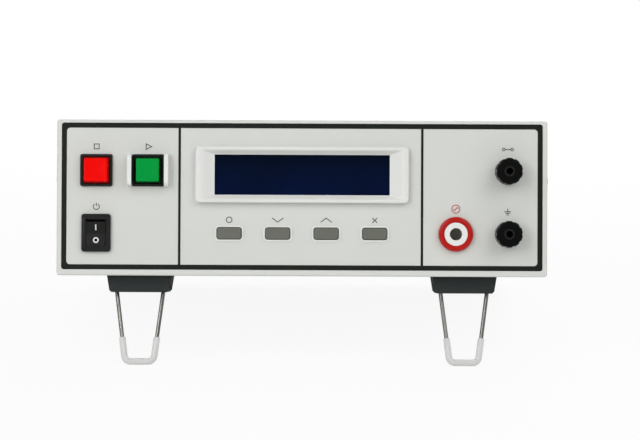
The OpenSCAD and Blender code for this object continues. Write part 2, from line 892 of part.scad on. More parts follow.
leg_steps = [
    [pivot_end - leg_top_w / 2 - top_tangent, pivot_bend_r, -leg_turn],
    [leg_run - top_tangent - low_tangent, leg_bend_r, leg_turn],
    [leg_low_w - 2 * low_tangent, leg_bend_r, leg_turn],
    [leg_run - top_tangent - low_tangent, pivot_bend_r, -leg_turn],
    [pivot_end - leg_top_w / 2 - top_tangent, 0, 0]
];

module tilt_leg(side) {
    color("#C8CACA") on_leg(side) translate([pivot_end, 0, 0]) rotate(180) wire_run(leg_steps, wire_d);
}

// Route of the sleeve, which can start earlier and end later than its ends by extra
function sleeve_steps(extra) = [
    [sleeve_l + extra, leg_bend_r, leg_turn],
    [leg_low_w - 2 * low_tangent, leg_bend_r, leg_turn],
    [sleeve_l + extra, 0, 0]
];

module sleeve_route(extra, d) {
    back = low_tangent + sleeve_l + extra;
    translate([leg_low_w / 2 + back * sin(leg_slope), leg_l - back * cos(leg_slope), 0])
        rotate(90 + leg_slope) wire_run(sleeve_steps(extra), d);
}

module leg_sleeve(side) {
    color("#E4E6E4") on_leg(side) difference() {
        sleeve_route(0, sleeve_d);
        sleeve_route(eps, wire_d + 2 * pin_fit);
    }
}

module display_surround() {
    bevel = 0.8;
    r = 2.4;
    throat = 0.5;
    color("#E2E3DF") on_front(0, display_z) difference() {
        union() {
            hull() {
                linear_extrude(display_out - bevel) rounded(display_w, display_h, r, $fn = 32);
                linear_extrude(display_out)
                    rounded(display_w - 2 * bevel, display_h - 2 * bevel, r - bevel, $fn = 32);
            }
            translate([0, 0, -stack]) linear_extrude(stack + eps)
                square([spigot_w, spigot_h], center = true);
        }
        hull() {
            translate([0, 0, throat]) linear_extrude(0.01) square([window_w, window_h], center = true);
            translate([0, 0, display_out + 0.01]) linear_extrude(0.01)
                square([display_w - 2 * (bevel + rim_w), display_h - 2 * (bevel + rim_w)], center = true);
        }
        translate([0, 0, -stack - eps]) linear_extrude(stack + display_out)
            square([window_w, window_h], center = true);
        translate([0, 0, -stack - eps]) linear_extrude(stack + eps + pane_front)
            square([pane_w + 2 * fit, pane_h + 2 * fit], center = true);
    }
}

module display_pane() {
    color("#05081F") on_front(0, display_z) translate([0, 0, pane_front - pane_t])
        linear_extrude(pane_t) square([pane_w, pane_h], center = true);
}

module display_can() {
    color("#8A8D8C") on_front(0, display_z) translate([0, 0, -board_front])
        linear_extrude(lcd_can_t) square([spigot_w + 6, spigot_h + 3], center = true);
}

module display_board() {
    chips = 5;
    color("#1F5B36") on_front(0, display_z) difference() {
        union() {
            translate([0, 0, -board_front - board_t]) linear_extrude(board_t)
                square([lcd_board_w, lcd_board_h], center = true);
            for (i = [0 : chips - 1]) {
                translate([(i - (chips - 1) / 2) * 20, 6, -board_front - board_t - 1.5])
                    linear_extrude(1.5 + eps) square([12, 8], center = true);
            }
        }
        for (sx = [-1, 1], sz = [-1, 1]) {
            translate([sx * lcd_post_x, sz * lcd_post_z, -board_front - board_t - 2])
                cylinder(d = hole_d, h = board_t + 4);
        }
    }
}

// Corners of the control board that stand on spacers: [x, y]
control_posts = [for (sx = [-1, 1], y = [5, control_l - 5])
    [control_x + sx * (control_w / 2 - 5), control_y + y]];

module board_spacers() {
    color("#B08D3E") {
        for (sx = [-1, 1], sz = [-1, 1]) {
            on_front(sx * lcd_post_x, display_z + sz * lcd_post_z) translate([0, 0, -board_front])
                cylinder(d = spacer_d, h = board_front - stack, $fn = 6);
        }
        for (s = [-1, 1]) {
            on_front(s * keypad_post_x, lower_z) translate([0, 0, -keypad_front])
                cylinder(d = spacer_d, h = keypad_front - stack, $fn = 6);
        }
        for (p = control_posts) {
            translate([p[0], p[1], floor_z]) cylinder(d = spacer_d + 1, h = spacer_h, $fn = 6);
        }
    }
}

// Blade contact standing back from z
module blade(x, y, z) {
    translate([x - blade_w / 2, y - blade_t / 2, -z - blade_l]) cube([blade_w, blade_t, blade_l + eps]);
}

// Square housing that clamps the panel with its flange, open in front for the cap
module button_housing() {
    difference() {
        union() {
            linear_extrude(button_flange_out) rounded(button_flange, button_flange, 1.2);
            translate([0, 0, -button_body_l]) linear_extrude(button_body_l + eps)
                square(button_body, center = true);
            for (y = [-5, 5]) {
                blade(0, y, button_body_l);
            }
        }
        translate([0, 0, -chamber_l]) linear_extrude(chamber_l + button_flange_out + eps)
            square(cap_hole, center = true);
    }
}

// Cap that narrows from its skirt to its face, with a stem that the spring sits round
module button_cap_shape() {
    corner = 0.8;
    edge = 0.3;
    hull() {
        translate([0, 0, -cap_skirt]) linear_extrude(cap_skirt + button_flange_out)
            rounded(button_cap, button_cap, corner, $fn = 32);
        translate([0, 0, button_out - 2 * edge]) linear_extrude(edge)
            rounded(button_face + 2 * edge, button_face + 2 * edge, corner, $fn = 32);
        translate([0, 0, button_out - edge]) linear_extrude(edge)
            rounded(button_face, button_face, corner, $fn = 32);
    }
    translate([0, 0, -cap_skirt - stem_l]) cylinder(d = stem_d, h = stem_l + eps);
}

// Coil spring from the chamber's floor to the cap: rings of points along a helix, joined up
module button_spring() {
    sides = 8;
    steps = 14 * spring_turns;
    low = -chamber_l + spring_wire_d / 2;
    rise = chamber_l - cap_skirt - spring_wire_d;
    rings = [for (i = [0 : steps]) let (a = 360 * spring_turns * i / steps, z = low + rise * i / steps)
        [for (j = [0 : sides - 1]) let (b = 360 * j / sides, r = spring_r + spring_wire_d / 2 * cos(b))
            [r * cos(a), r * sin(a), z + spring_wire_d / 2 * sin(b)]]];
    points = [for (ring = rings) for (p = ring) p];
    walls = [for (i = [0 : steps - 1], j = [0 : sides - 1]) let (k = (j + 1) % sides)
        [i * sides + j, (i + 1) * sides + j, (i + 1) * sides + k, i * sides + k]];
    start = [for (j = [0 : sides - 1]) j];
    end = [for (j = [sides - 1 : -1 : 0]) steps * sides + j];
    polyhedron(points, concat(walls, [start, end]));
}

module reset_housing() {
    color("#1B1D1B") on_front(left_x, upper_z) button_housing();
}

module reset_button() {
    color("#D8130E") on_front(left_x, upper_z) button_cap_shape();
}

module reset_spring() {
    color("#C8CACA") on_front(left_x, upper_z) button_spring();
}

// The test button stands on its guard's base plate
module on_guard() {
    on_front(test_x, upper_z) translate([0, 0, guard_base_t]) children();
}

module test_housing() {
    color("#1B1D1B") on_guard() button_housing();
}

module test_button() {
    color("#009640") on_guard() button_cap_shape();
}

module test_spring() {
    color("#C8CACA") on_guard() button_spring();
}

// Base plate under the flange, with a round-topped wall at each side of the button
module test_guard() {
    color("#EEF0EE") on_front(test_x, upper_z) {
        linear_extrude(guard_base_t) difference() {
            square([2 * (guard_wall_x + guard_t), button_flange], center = true);
            square(button_body + 2 * fit, center = true);
        }
        for (s = [-1, 1]) {
            translate([s * (guard_wall_x + guard_t / 2), 0, 0]) rotate([90, 0, 90])
                linear_extrude(guard_t, center = true) intersection() {
                    rounded(button_flange, 2 * guard_out, 3);
                    translate([-button_flange, 0]) square(2 * button_flange);
                }
        }
    }
}

module power_switch_body() {
    opening_w = rocker_w + 0.4;
    color("#1C211D") on_front(left_x, lower_z) difference() {
        union() {
            linear_extrude(switch_out) rounded(switch_flange_w, switch_flange_h, 1.6);
            translate([0, 0, -switch_body_l]) linear_extrude(switch_body_l + eps)
                square([switch_body_w, switch_body_h], center = true);
            for (y = [-5, 5]) {
                blade(0, y, switch_body_l);
            }
        }
        translate([0, 0, -switch_chamber_l]) linear_extrude(switch_chamber_l + switch_out + eps)
            square([opening_w, rocker_opening_h], center = true);
        translate([0, 0, -rocker_depth]) rotate([0, 90, 0])
            cylinder(d = rocker_pin_d + 2 * pin_fit, h = switch_body_w + 1, center = true);
    }
}

// Rocker with two shallow faces that meet at its middle, lower half pressed in
module power_rocker() {
    a = rocker_h / 2;
    face = rocker_depth + switch_out + 1;
    color("#1C211D") on_front(left_x, lower_z) translate([0, 0, -rocker_depth])
        rotate([rocker_throw / 2, 0, 0]) {
            rotate([90, 0, 90]) linear_extrude(rocker_w, center = true)
                polygon([[-a, face], [0, face - 1.4], [a, face], [a, 1.2], [a / 2, -3.2], [-a / 2, -3.2],
                    [-a, 1.2]]);
            rotate([0, 90, 0]) cylinder(d = rocker_pin_d, h = switch_body_w - 0.2, center = true);
        }
}

// Key with a lip that keeps it behind the panel
module key(k) {
    edge = 0.5;
    color("#6F7168") on_front(key_x(k), lower_z) {
        translate([0, 0, -key_back]) linear_extrude(key_back + key_out - edge)
            rounded(key_w, key_h, key_r);
        translate([0, 0, key_out - edge - 0.01]) linear_extrude(edge + 0.01)
            rounded(key_w - edge, key_h - edge, key_r);
        translate([0, 0, -key_back]) linear_extrude(key_lip_t)
            square([key_w + 2 * lip_key, key_h + 2 * lip_key], center = true);
    }
}

module keypad_board() {
    color("#1F5B36") on_front(0, lower_z) difference() {
        union() {
            translate([0, 0, -keypad_front - board_t]) linear_extrude(board_t)
                square([keypad_w, keypad_h], center = true);
            for (k = [0 : 3]) {
                translate([key_x(k), 0, -keypad_front - eps]) {
                    linear_extrude(tact_t - 0.6 + eps) square(6, center = true);
                    cylinder(d = 3.4, h = tact_t + eps);
                }
            }
        }
        for (s = [-1, 1]) {
            translate([s * keypad_post_x, 0, -keypad_front - board_t - 1])
                cylinder(d = hole_d, h = board_t + 1 + eps);
        }
    }
}

module hv_ring() {
    in_r = hv_body_d / 2 + fit;
    out_r = hv_ring_d / 2;
    color("#C41A14") on_front(hv_x, lower_z) rotate_extrude()
        polygon([[in_r, 0], [out_r, 0], [out_r, hv_ring_out - 1.4], [out_r - 0.5, hv_ring_out - 0.4],
            [out_r - 1.3, hv_ring_out], [in_r + 0.5, hv_ring_out], [in_r, hv_ring_out - 0.5]]);
}

module hv_insulator() {
    color("#F2F3F0") on_front(hv_x, lower_z) difference() {
        translate([0, 0, -hv_body_l]) cylinder(d = hv_body_d, h = hv_body_l + hv_face);
        translate([0, 0, hv_face - hv_bore_l]) cylinder(d = hv_bore_d, h = hv_bore_l + eps);
        translate([0, 0, -hv_body_l - eps]) cylinder(d = hv_pin_d + 2 * fit, h = hv_body_l);
    }
}

module hv_contact() {
    color("#C9A13B") on_front(hv_x, lower_z) translate([0, 0, -hv_tail_l])
        cylinder(d = hv_pin_d, h = hv_tail_l + hv_face - hv_bore_l);
}

// A child on each of the two binding posts' axes
module each_post() {
    for (z = [upper_z, lower_z]) {
        on_front(post_x, z) children();
    }
}

module post_bases() {
    color("#1E211F") each_post() difference() {
        union() {
            cylinder(d = post_cap_d - 0.6, h = post_base_out);
            translate([0, 0, -stack]) cylinder(d = post_neck_d, h = stack + eps);
        }
        translate([0, 0, -stack - eps])
            cylinder(d = post_stud_d + 2 * fit, h = stack + post_base_out + 2 * eps);
    }
}

// Cap turned on its stud, with finger grooves and a softened front edge
module post_cap(z) {
    r = post_cap_d / 2;
    flute_r = 1.6;
    color("#1E211F") on_front(post_x, z) translate([0, 0, post_base_out + 0.2]) difference() {
        rotate_extrude() polygon([[post_stud_d / 2 + pin_fit, 0], [r, 0], [r, post_cap_l - 1],
            [r - 0.3, post_cap_l - 0.3], [r - 1, post_cap_l], [post_stud_d / 2 + pin_fit, post_cap_l]]);
        for (i = [0 : post_flutes - 1]) {
            rotate(360 * i / post_flutes) translate([r + flute_r - 0.45, 0, -eps])
                cylinder(r = flute_r, h = post_cap_l + 2 * eps, $fn = 24);
        }
    }
}

module post_studs() {
    top = post_front - 0.4;
    color("#C9C6B8") each_post() difference() {
        translate([0, 0, -post_tail_l]) cylinder(d = post_stud_d, h = post_tail_l + top);
        translate([0, 0, top - plug_bore_l]) cylinder(d = plug_bore_d, h = plug_bore_l + eps);
    }
}

// Hexagon nut against the panel's back
module back_nut(d, t, bore) {
    translate([0, 0, -stack - t]) difference() {
        cylinder(d = d, h = t, $fn = 6);
        translate([0, 0, -eps]) cylinder(d = bore + 2 * fit, h = t + 2 * eps);
    }
}

module terminal_nuts() {
    color("#B9BBB8") {
        each_post() back_nut(post_nut_d, post_nut_t, post_stud_d);
        on_front(hv_x, lower_z) back_nut(hv_nut_d, hv_nut_t, hv_body_d);
    }
}

module control_board() {
    color("#1F5B36") translate([control_x, control_y, control_z]) difference() {
        union() {
            translate([-control_w / 2, 0, 0]) cube([control_w, control_l, board_t]);
            for (i = [0 : 3]) {
                translate([-control_w / 2 + 16 + i * 14, control_l - 18, board_t - eps])
                    cylinder(d = 11, h = 20);
            }
            for (i = [0 : 2], j = [0 : 1]) {
                translate([i * 20 - 24, 28 + j * 26, board_t - eps]) cube([14, 20, 3]);
            }
            translate([control_w / 2 - 26, 20, board_t - eps]) cube([16, 40, 16]);
            translate([-control_w / 2 + 14, 4, board_t - eps]) cube([40, 6, 9]);
        }
        for (p = control_posts) {
            translate([p[0] - control_x, p[1] - control_y, -eps]) cylinder(d = hole_d, h = board_t + 2 * eps);
        }
    }
}

// Laminated core of two windows, standing on the floor: width w, stack t
module core(w, t) {
    limb = w / 3;
    h = w * 5 / 6;
    upright(0, t) difference() {
        translate([0, floor_z + h / 2]) square([w, h], center = true);
        for (s = [-1, 1]) {
            translate([s * w / 4, floor_z + h / 2]) square([limb / 2, h - limb], center = true);
        }
    }
}

// Winding that fills the windows of such a core
module winding(w, t) {
    limb = w / 3;
    h = w * 5 / 6;
    deep = limb / 2 - 2 * fit;
    translate([0, t / 2, floor_z + limb / 2 + fit]) linear_extrude(h - limb - 2 * fit) difference() {
        rounded(limb + 2 * deep, t + 2 * deep, 3);
        square([limb + 2 * fit, t + 2 * fit], center = true);
    }
}

module hv_core() {
    color("#6B6F70") translate([hv_core_x, hv_core_y, 0]) core(hv_core_w, hv_core_t);
}

module hv_winding() {
    color("#B5762F") translate([hv_core_x, hv_core_y, 0]) winding(hv_core_w, hv_core_t);
}

// Insulated lead from the high-voltage contact's tail to the winding
module hv_lead() {
    lead_d = 4;
    bow = 5;
    from_y = panel_recess + hv_tail_l;
    limb = hv_core_w / 3;
    to_y = hv_core_y - limb / 2 + 2 * fit;
    run = (to_y - from_y - 2 * bow) / 2;
    rise = 3;
    color("#D9DBD6") translate([hv_x, from_y, lower_z]) rotate([90, 0, 90]) wire_run([
        [max(run, 0.5), bow, 30], [rise, bow, -30], [to_y - from_y - max(run, 0.5) - 2 * bow * sin(30)
            - rise * cos(30), 0, 0]], lead_d);
}

module supply_core() {
    color("#6B6F70") translate([supply_x, supply_y, 0]) core(supply_core_w, supply_core_t);
}

module supply_winding() {
    color("#B5762F") translate([supply_x, supply_y, 0]) winding(supply_core_w, supply_core_t);
}

module heat_sink() {
    base = 6;
    fin_t = 2;
    gap = (sink_w - fin_t) / (sink_fins - 1);
    color("#A9ACAC") translate([fan_x, sink_y + sink_l, floor_z]) rotate([90, 0, 0]) linear_extrude(sink_l) {
        translate([-sink_w / 2, 0]) square([sink_w, base]);
        for (i = [0 : sink_fins - 1]) {
            translate([-sink_w / 2 + i * gap, 0]) square([fin_t, sink_h]);
        }
    }
}

// Square fan housing behind the rear panel, its motor seat held by three arms
module fan_frame() {
    arm_w = 4;
    arm_t = 3;
    color("#1B1D1B") on_rear(fan_x, fan_z) translate([0, 0, -rear_t - fan_t]) difference() {
        union() {
            linear_extrude(fan_t) difference() {
                rounded(fan_w, fan_w, 3);
                circle(d = duct_d);
            }
            cylinder(d = hub_d, h = arm_t);
            for (i = [0 : 2]) {
                rotate(90 + 120 * i) translate([0, -arm_w / 2, 0])
                    cube([duct_d / 2 + 1, arm_w, arm_t]);
            }
        }
        for (sx = [-1, 1], sy = [-1, 1]) {
            translate([sx * fan_bolt / 2, sy * fan_bolt / 2, -eps])
                cylinder(d = hole_d, h = fan_t + 2 * eps);
        }
        translate([0, 0, -eps]) cylinder(d = 3 + 2 * pin_fit, h = arm_t + 2 * eps);
    }
}

// Hub with pitched blades, turning on a pin in the motor seat
module fan_rotor() {
    seat = 3.3;
    blade_h = fan_t - seat - 5;
    color("#262A28") on_rear(fan_x, fan_z) translate([0, 0, -rear_t - fan_t]) {
        translate([0, 0, seat]) cylinder(d = hub_d, h = fan_t - seat - 3);
        cylinder(d = 3, h = seat + eps);
        translate([0, 0, seat + 1]) intersection() {
            cylinder(d = duct_d - 2, h = blade_h);
            for (i = [0 : fan_blades - 1]) {
                rotate(360 * i / fan_blades) translate([hub_d / 2 - 1, 0, blade_h / 2]) rotate([42, 0, 0])
                    translate([0, -blade_h, -0.7]) cube([duct_d / 2, 2 * blade_h, 1.4]);
            }
        }
    }
}

// Three-pole mains socket with screw ears, hollow for the plug
module mains_inlet() {
    ear_w = 50;
    ear_h = 23;
    flange_t = 3;
    color("#161816") on_rear(inlet_x, inlet_row) difference() {
        union() {
            linear_extrude(flange_t) intersection() {
                rounded(ear_w, ear_h, 3);
                circle(d = ear_w);
            }
            translate([0, 0, -inlet_l]) linear_extrude(inlet_l + eps)
                square([inlet_w, inlet_h], center = true);
        }
        translate([0, 0, flange_t - 17]) linear_extrude(17 + eps)
            polygon([[-12.1, -8], [12.1, -8], [12.1, 4.5], [8.6, 8], [-8.6, 8], [-12.1, 4.5]]);
        for (x = [-7, 0, 7]) {
            translate([x - 1 - fit, (x == 0 ? 0.5 : -3.5) - fit, -inlet_l - eps])
                cube([2 + 2 * fit, 4 + 2 * fit, inlet_l]);
        }
        for (s = [-1, 1]) {
            translate([s * 20, 0, -eps]) cylinder(d = 3.4, h = flange_t + 2 * eps);
        }
    }
}

module inlet_pins() {
    color("#C9C6B8") on_rear(inlet_x, inlet_row) {
        for (x = [-7, 0, 7]) {
            translate([x - 1, x == 0 ? 0.5 : -3.5, -inlet_l - 6]) cube([2, 4, inlet_l + 4]);
        }
    }
}

module fuse_holder() {
    color("#161816") on_rear(fuse_x, fuse_row) difference() {
        union() {
            cylinder(d = fuse_d + 2 * fuse_rim, h = fuse_rim_t);
            translate([0, 0, -fuse_body_l]) cylinder(d = fuse_d, h = fuse_body_l + eps);
        }
        translate([0, 0, -fuse_carrier_l - fuse_room])
            cylinder(d = fuse_carrier_d + 2 * pin_fit, h = fuse_carrier_l + fuse_room + fuse_rim_t + eps);
    }
}

// Quarter-turn cap with a screwdriver slot, its carrier inside the holder
module fuse_cap() {
    seat = fuse_rim_t + fuse_cap_gap;
    slot_w = 1.6;
    slot_t = 1.5;
    grips = 12;
    color("#161816") on_rear(fuse_x, fuse_row) difference() {
        union() {
            translate([0, 0, seat]) cylinder(d = fuse_cap_d, h = fuse_out - seat);
            translate([0, 0, -fuse_carrier_l]) cylinder(d = fuse_carrier_d, h = fuse_carrier_l + seat + eps);
        }
        translate([-fuse_cap_d / 2 - eps, -slot_w / 2, fuse_out - slot_t])
            cube([fuse_cap_d + 2 * eps, slot_w, 2 * slot_t]);
        for (i = [0 : grips - 1]) {
            rotate(360 * (i + 0.5) / grips) translate([fuse_cap_d / 2 + 0.5, 0, fuse_rim_t])
                cylinder(r = 0.9, h = fuse_out, $fn = 24);
        }
    }
}

module selector_body() {
    flange_t = 1.5;
    deep = 9;
    color("#161816") on_rear(selector_x, inlet_row) difference() {
        union() {
            linear_extrude(flange_t) rounded(selector_flange_w, selector_flange_h, 1.5);
            translate([0, 0, -deep]) linear_extrude(deep + eps)
                square([selector_w + 2 * selector_wall, selector_h + 2 * selector_wall], center = true);
        }
        translate([0, 0, -deep + 3]) linear_extrude(deep + flange_t)
            square([selector_w, selector_h], center = true);
    }
}

// Knob at one end of the selector's slot, sunk below the flange
module selector_knob() {
    gap = 0.15;
    knob_w = selector_w - selector_travel - 2 * gap;
    color("#B3201A") on_rear(selector_x, inlet_row)
        translate([(selector_w - knob_w) / 2 - gap, 0, -6 + gap]) difference() {
            linear_extrude(6) square([knob_w, selector_h - 2 * gap], center = true);
            translate([-0.7, -selector_h, 4.8]) cube([1.4, 2 * selector_h, 2]);
        }
}

// Two nine-pole sockets: a flange, a tapered metal shell and its insert
module remote_connectors() {
    a = remote_shell_w / 2;
    b = remote_shell_low_w / 2;
    h = remote_shell_h / 2;
    color("#9A9D9C") for (s = [-1, 1]) {
        on_rear(remote_x, inlet_row + s * remote_pitch / 2) difference() {
            union() {
                linear_extrude(remote_flange_t) rounded(remote_flange_w, remote_flange_h, 1.5);
                linear_extrude(remote_out) polygon([[-a, h], [a, h], [b, -h], [-b, -h]]);
                translate([0, 0, -remote_l]) linear_extrude(remote_l + eps)
                    square([remote_w, remote_h], center = true);
                for (s = [-1, 1]) {
                    translate([s * remote_post_x, 0, 0])
                        cylinder(d = remote_post_d, h = remote_out - 0.8, $fn = 6);
                }
            }
            for (i = [0 : 8]) {
                row = i < 5 ? 0 : 1;
                across = (i - (row == 0 ? 2 : 6.5)) * contact_pitch;
                translate([across, (0.5 - row) * contact_row, remote_flange_t])
                    cylinder(d = 1.2, h = remote_out, $fn = 16);
            }
            for (s = [-1, 1]) {
                translate([s * remote_post_x, 0, remote_flange_t]) cylinder(d = 2.9, h = remote_out, $fn = 24);
            }
        }
    }
}

// Earth stud with its nut and washer
module earth_terminal() {
    color("#C9C6B8") on_rear(earth_x, earth_row) {
        translate([0, 0, -10]) cylinder(d = earth_d, h = 10 + earth_out);
        cylinder(d = 10, h = 1);
        translate([0, 0, 1]) cylinder(d = 8, h = 3.2, $fn = 6);
        translate([0, 0, -rear_t - 3.2]) cylinder(d = 8, h = 3.2, $fn = 6);
    }
}

stand() top_cover();
stand() bottom_tray();
stand() rear_panel();
stand() front_frame();
stand() front_panel();
stand() panel_film();
stand() panel_border();
stand() case_screws();
stand() foot_screws();
stand() front_foot(-1);  // front_foot_left
stand() front_foot(1);  // front_foot_right
stand() rear_feet();
stand() tilt_leg(-1);  // tilt_leg_left
stand() tilt_leg(1);  // tilt_leg_right
stand() leg_sleeve(-1);  // leg_sleeve_left
stand() leg_sleeve(1);  // leg_sleeve_right
stand() display_surround();
stand() display_pane();
stand() display_can();
stand() display_board();
stand() board_spacers();
stand() reset_housing();
stand() reset_button();
stand() reset_spring();
stand() test_housing();
stand() test_button();
stand() test_spring();
stand() test_guard();
stand() power_switch_body();
stand() power_rocker();
stand() key(0);  // key_1
stand() key(1);  // key_2
stand() key(2);  // key_3
stand() key(3);  // key_4
stand() keypad_board();
stand() hv_ring();
stand() hv_insulator();
stand() hv_contact();
stand() post_bases();
stand() post_cap(lower_z);  // return_post_cap
stand() post_cap(upper_z);  // check_post_cap
stand() post_studs();
stand() terminal_nuts();
stand() control_board();
stand() hv_core();
stand() hv_winding();
stand() hv_lead();
stand() supply_core();
stand() supply_winding();
stand() heat_sink();
stand() fan_frame();
stand() fan_rotor();
stand() mains_inlet();
stand() inlet_pins();
stand() fuse_holder();
stand() fuse_cap();
stand() selector_body();
stand() selector_knob();
stand() remote_connectors();
stand() earth_terminal();
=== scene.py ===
import json
import math

import bpy
import mathutils
import numpy as np
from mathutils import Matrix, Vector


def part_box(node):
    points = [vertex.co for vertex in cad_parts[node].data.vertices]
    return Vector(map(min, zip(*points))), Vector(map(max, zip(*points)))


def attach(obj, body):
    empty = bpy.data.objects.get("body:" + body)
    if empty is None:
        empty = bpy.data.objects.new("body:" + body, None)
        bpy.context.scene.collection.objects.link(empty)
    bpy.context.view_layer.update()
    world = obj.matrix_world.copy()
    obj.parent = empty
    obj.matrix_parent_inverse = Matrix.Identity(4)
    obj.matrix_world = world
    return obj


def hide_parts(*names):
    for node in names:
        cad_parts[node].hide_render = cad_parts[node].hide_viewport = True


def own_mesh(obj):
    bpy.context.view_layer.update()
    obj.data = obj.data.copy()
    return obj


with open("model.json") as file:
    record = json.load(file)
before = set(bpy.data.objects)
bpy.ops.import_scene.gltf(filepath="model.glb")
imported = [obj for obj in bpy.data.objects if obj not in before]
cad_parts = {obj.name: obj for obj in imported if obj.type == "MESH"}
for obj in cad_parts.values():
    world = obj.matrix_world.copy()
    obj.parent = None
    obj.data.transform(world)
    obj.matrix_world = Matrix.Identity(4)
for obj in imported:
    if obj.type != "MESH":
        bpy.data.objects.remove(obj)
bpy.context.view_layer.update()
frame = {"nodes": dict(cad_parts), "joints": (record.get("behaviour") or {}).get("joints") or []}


# Case directions: the tester stands tipped back on its legs, so its right, up and out directions
# are not the bench's. The reset button travels straight into the panel, which gives them.
def joint(name):
    """The frame's entry for a joint."""
    return next(entry for entry in frame["joints"] if entry["name"] == name)


into = np.array(joint("reset_press")["axis"], float)
into /= np.linalg.norm(into)
case_axes = np.array([[1.0, 0.0, 0.0], [0.0, -into[2], into[1]], -into])


def case_box(node):
    """Lowest and highest corner of a CAD node along the case's right, up and out directions."""
    mesh = frame["nodes"][node].data
    points = np.empty(3 * len(mesh.vertices), np.float32)
    mesh.vertices.foreach_get("co", points)
    points = points.reshape(-1, 3).astype(float) @ case_axes.T
    return points.min(0), points.max(0)


def middle(node):
    """Centre of a CAD node's box along those directions."""
    low, high = case_box(node)
    return (low + high) / 2


# Cover, tray and rear panel: folded sheet steel, screwed together round the works.
# They are powder coated in a warm light grey, the tray and the rear a little darker than the cover.
mm = 0.001


def linear(shade):
    """Linear colour of an sRGB hex.

    A dark channel c becomes c / 12.92, any other ((c + 0.055) / 1.055) to the power 2.4.
    """
    channels = np.array([int(shade[i:i + 2], 16) for i in (1, 3, 5)]) / 255
    curve = np.where(channels <= 0.04045, channels / 12.92, ((channels + 0.055) / 1.055) ** 2.4)
    return (*curve.tolist(), 1.0)


def add(tree, kind, inputs, **settings):
    """Add a node: settings are its properties, inputs its sockets' values or what feeds them."""
    made = tree.nodes.new(kind)
    for key, value in settings.items():
        setattr(made, key, value)
    for key, value in inputs.items():
        if isinstance(value, bpy.types.NodeSocket):
            tree.links.new(value, made.inputs[key])
        else:
            made.inputs[key].default_value = value
    return made


def start(name):
    """New material with an empty node tree, and that tree's Object coordinate."""
    made = bpy.data.materials.new(name)
    made.use_nodes = True
    made.node_tree.nodes.clear()
    return made, made.node_tree, add(made.node_tree, "ShaderNodeTexCoord", {}).outputs["Object"]


def noise(tree, place, size, detail):
    """Noise from 0 to 1 with lumps of that size in mm."""
    inputs = {"Vector": place, "Scale": 1000 / size, "Detail": detail}
    return add(tree, "ShaderNodeTexNoise", inputs).outputs["Fac"]


def shades(tree, share, first, second):
    """Mix of two sRGB hex colours: the first at a share of 0, the second at 1."""
    inputs = {0: share, 6: linear(first), 7: linear(second)}
    return add(tree, "ShaderNodeMix", inputs, data_type="RGBA").outputs[2]


def spread(tree, value, low, high, begin=0.0, end=1.0, **settings):
    """A value that runs from begin to end, stretched to run from low to high."""
    inputs = {"Value": value, "From Min": begin, "From Max": end, "To Min": low, "To Max": high}
    return add(tree, "ShaderNodeMapRange", inputs, **settings).outputs["Result"]


def relief(tree, height, strength, depth):
    """Normal of a fine relief of that depth in mm."""
    inputs = {"Height": height, "Strength": strength, "Distance": depth * mm}
    return add(tree, "ShaderNodeBump", inputs).outputs["Normal"]


def surface(tree, inputs):
    """Principled shader with those inputs, put on the material's output."""
    shader = add(tree, "ShaderNodeBsdfPrincipled", inputs)
    add(tree, "ShaderNodeOutputMaterial", {"Surface": shader.outputs["BSDF"]})


def powder_coat(name, shade, shadow):
    """Baked powder paint: small lumps raise an orange peel, broad clouds shift the shade a little."""
    peel_size, cloud_size, peel_depth = 1.4, 60, 0.05
    made, tree, place = start(name)
    peel = noise(tree, place, peel_size, 2.0)
    cloud = noise(tree, place, cloud_size, 3.0)
    surface(tree, {"Base Color": shades(tree, cloud, shade, shadow),
                   "Roughness": spread(tree, peel, 0.40, 0.54),
                   "Normal": relief(tree, peel, 0.30, peel_depth), "IOR": 1.5})
    return made


def dress(finish, *nodes):
    """Give CAD nodes a finish."""
    for name in nodes:
        mesh = frame["nodes"][name].data
        mesh.materials.clear()
        mesh.materials.append(finish)


# The paint gives a satin sheet whose reflections are broken up by the peel.
cover_paint = powder_coat("powder_coated_steel", "#DADBD6", "#D3D4CF")
tray_paint = powder_coat("powder_coated_tray", "#C9CBC6", "#C1C3BE")
dress(cover_paint, "top_cover")
dress(tray_paint, "bottom_tray", "rear_panel")


# Front frame: one light grey ABS moulding with a spark-eroded grain.
# It plugs into the cover's front end and carries the panel in a pocket.
def moulded(name, shade, shadow, roughness, grain, depth, gloss=0.5):
    """Moulded plastic, film or ink: lumps of grain mm raise a relief of depth mm, clouds tint it.

    The clouds are forty grains wide. Gloss is the strength of its mirror reflections, 0.5 as a rule
    and less on matt black, which would look grey otherwise.
    """
    cloud_grains, grain_strength, sheen_range = 40, 0.35, 0.06
    made, tree, place = start(name)
    lumps = noise(tree, place, grain, 3.0)
    cloud = noise(tree, place, cloud_grains * grain, 2.0)
    surface(tree, {"Base Color": shades(tree, cloud, shade, shadow),
                   "Roughness": spread(tree, lumps, roughness - sheen_range, roughness + sheen_range),
                   "Normal": relief(tree, lumps, grain_strength, depth),
                   "IOR": 1.5, "Specular IOR Level": gloss})
    return made


# The grain gives a dull, even skin without sharp reflections.
frame_plastic = moulded("grained_abs_light_grey", "#D6D8D3", "#D0D2CD", 0.46, 0.6, 0.03)
dress(frame_plastic, "front_frame")


# Front panel: an aluminium plate in the frame's pocket under a printed polyester film.
# The film is light grey, with a black border and two black dividing lines printed on it.
# Plate and film give two dull greys, and the print a deep black that hardly shines.
panel_metal = moulded("rolled_aluminium", "#C4C7C2", "#B9BCB8", 0.38, 0.5, 0.01)
film = moulded("matte_printed_film", "#D3D5D0", "#CFD1CC", 0.52, 0.45, 0.012)
black_print = moulded("black_printed_border", "#1B201B", "#181D18", 0.48, 0.45, 0.008, 0.15)
dress(panel_metal, "front_panel")
dress(film, "panel_film")
dress(black_print, "panel_border")


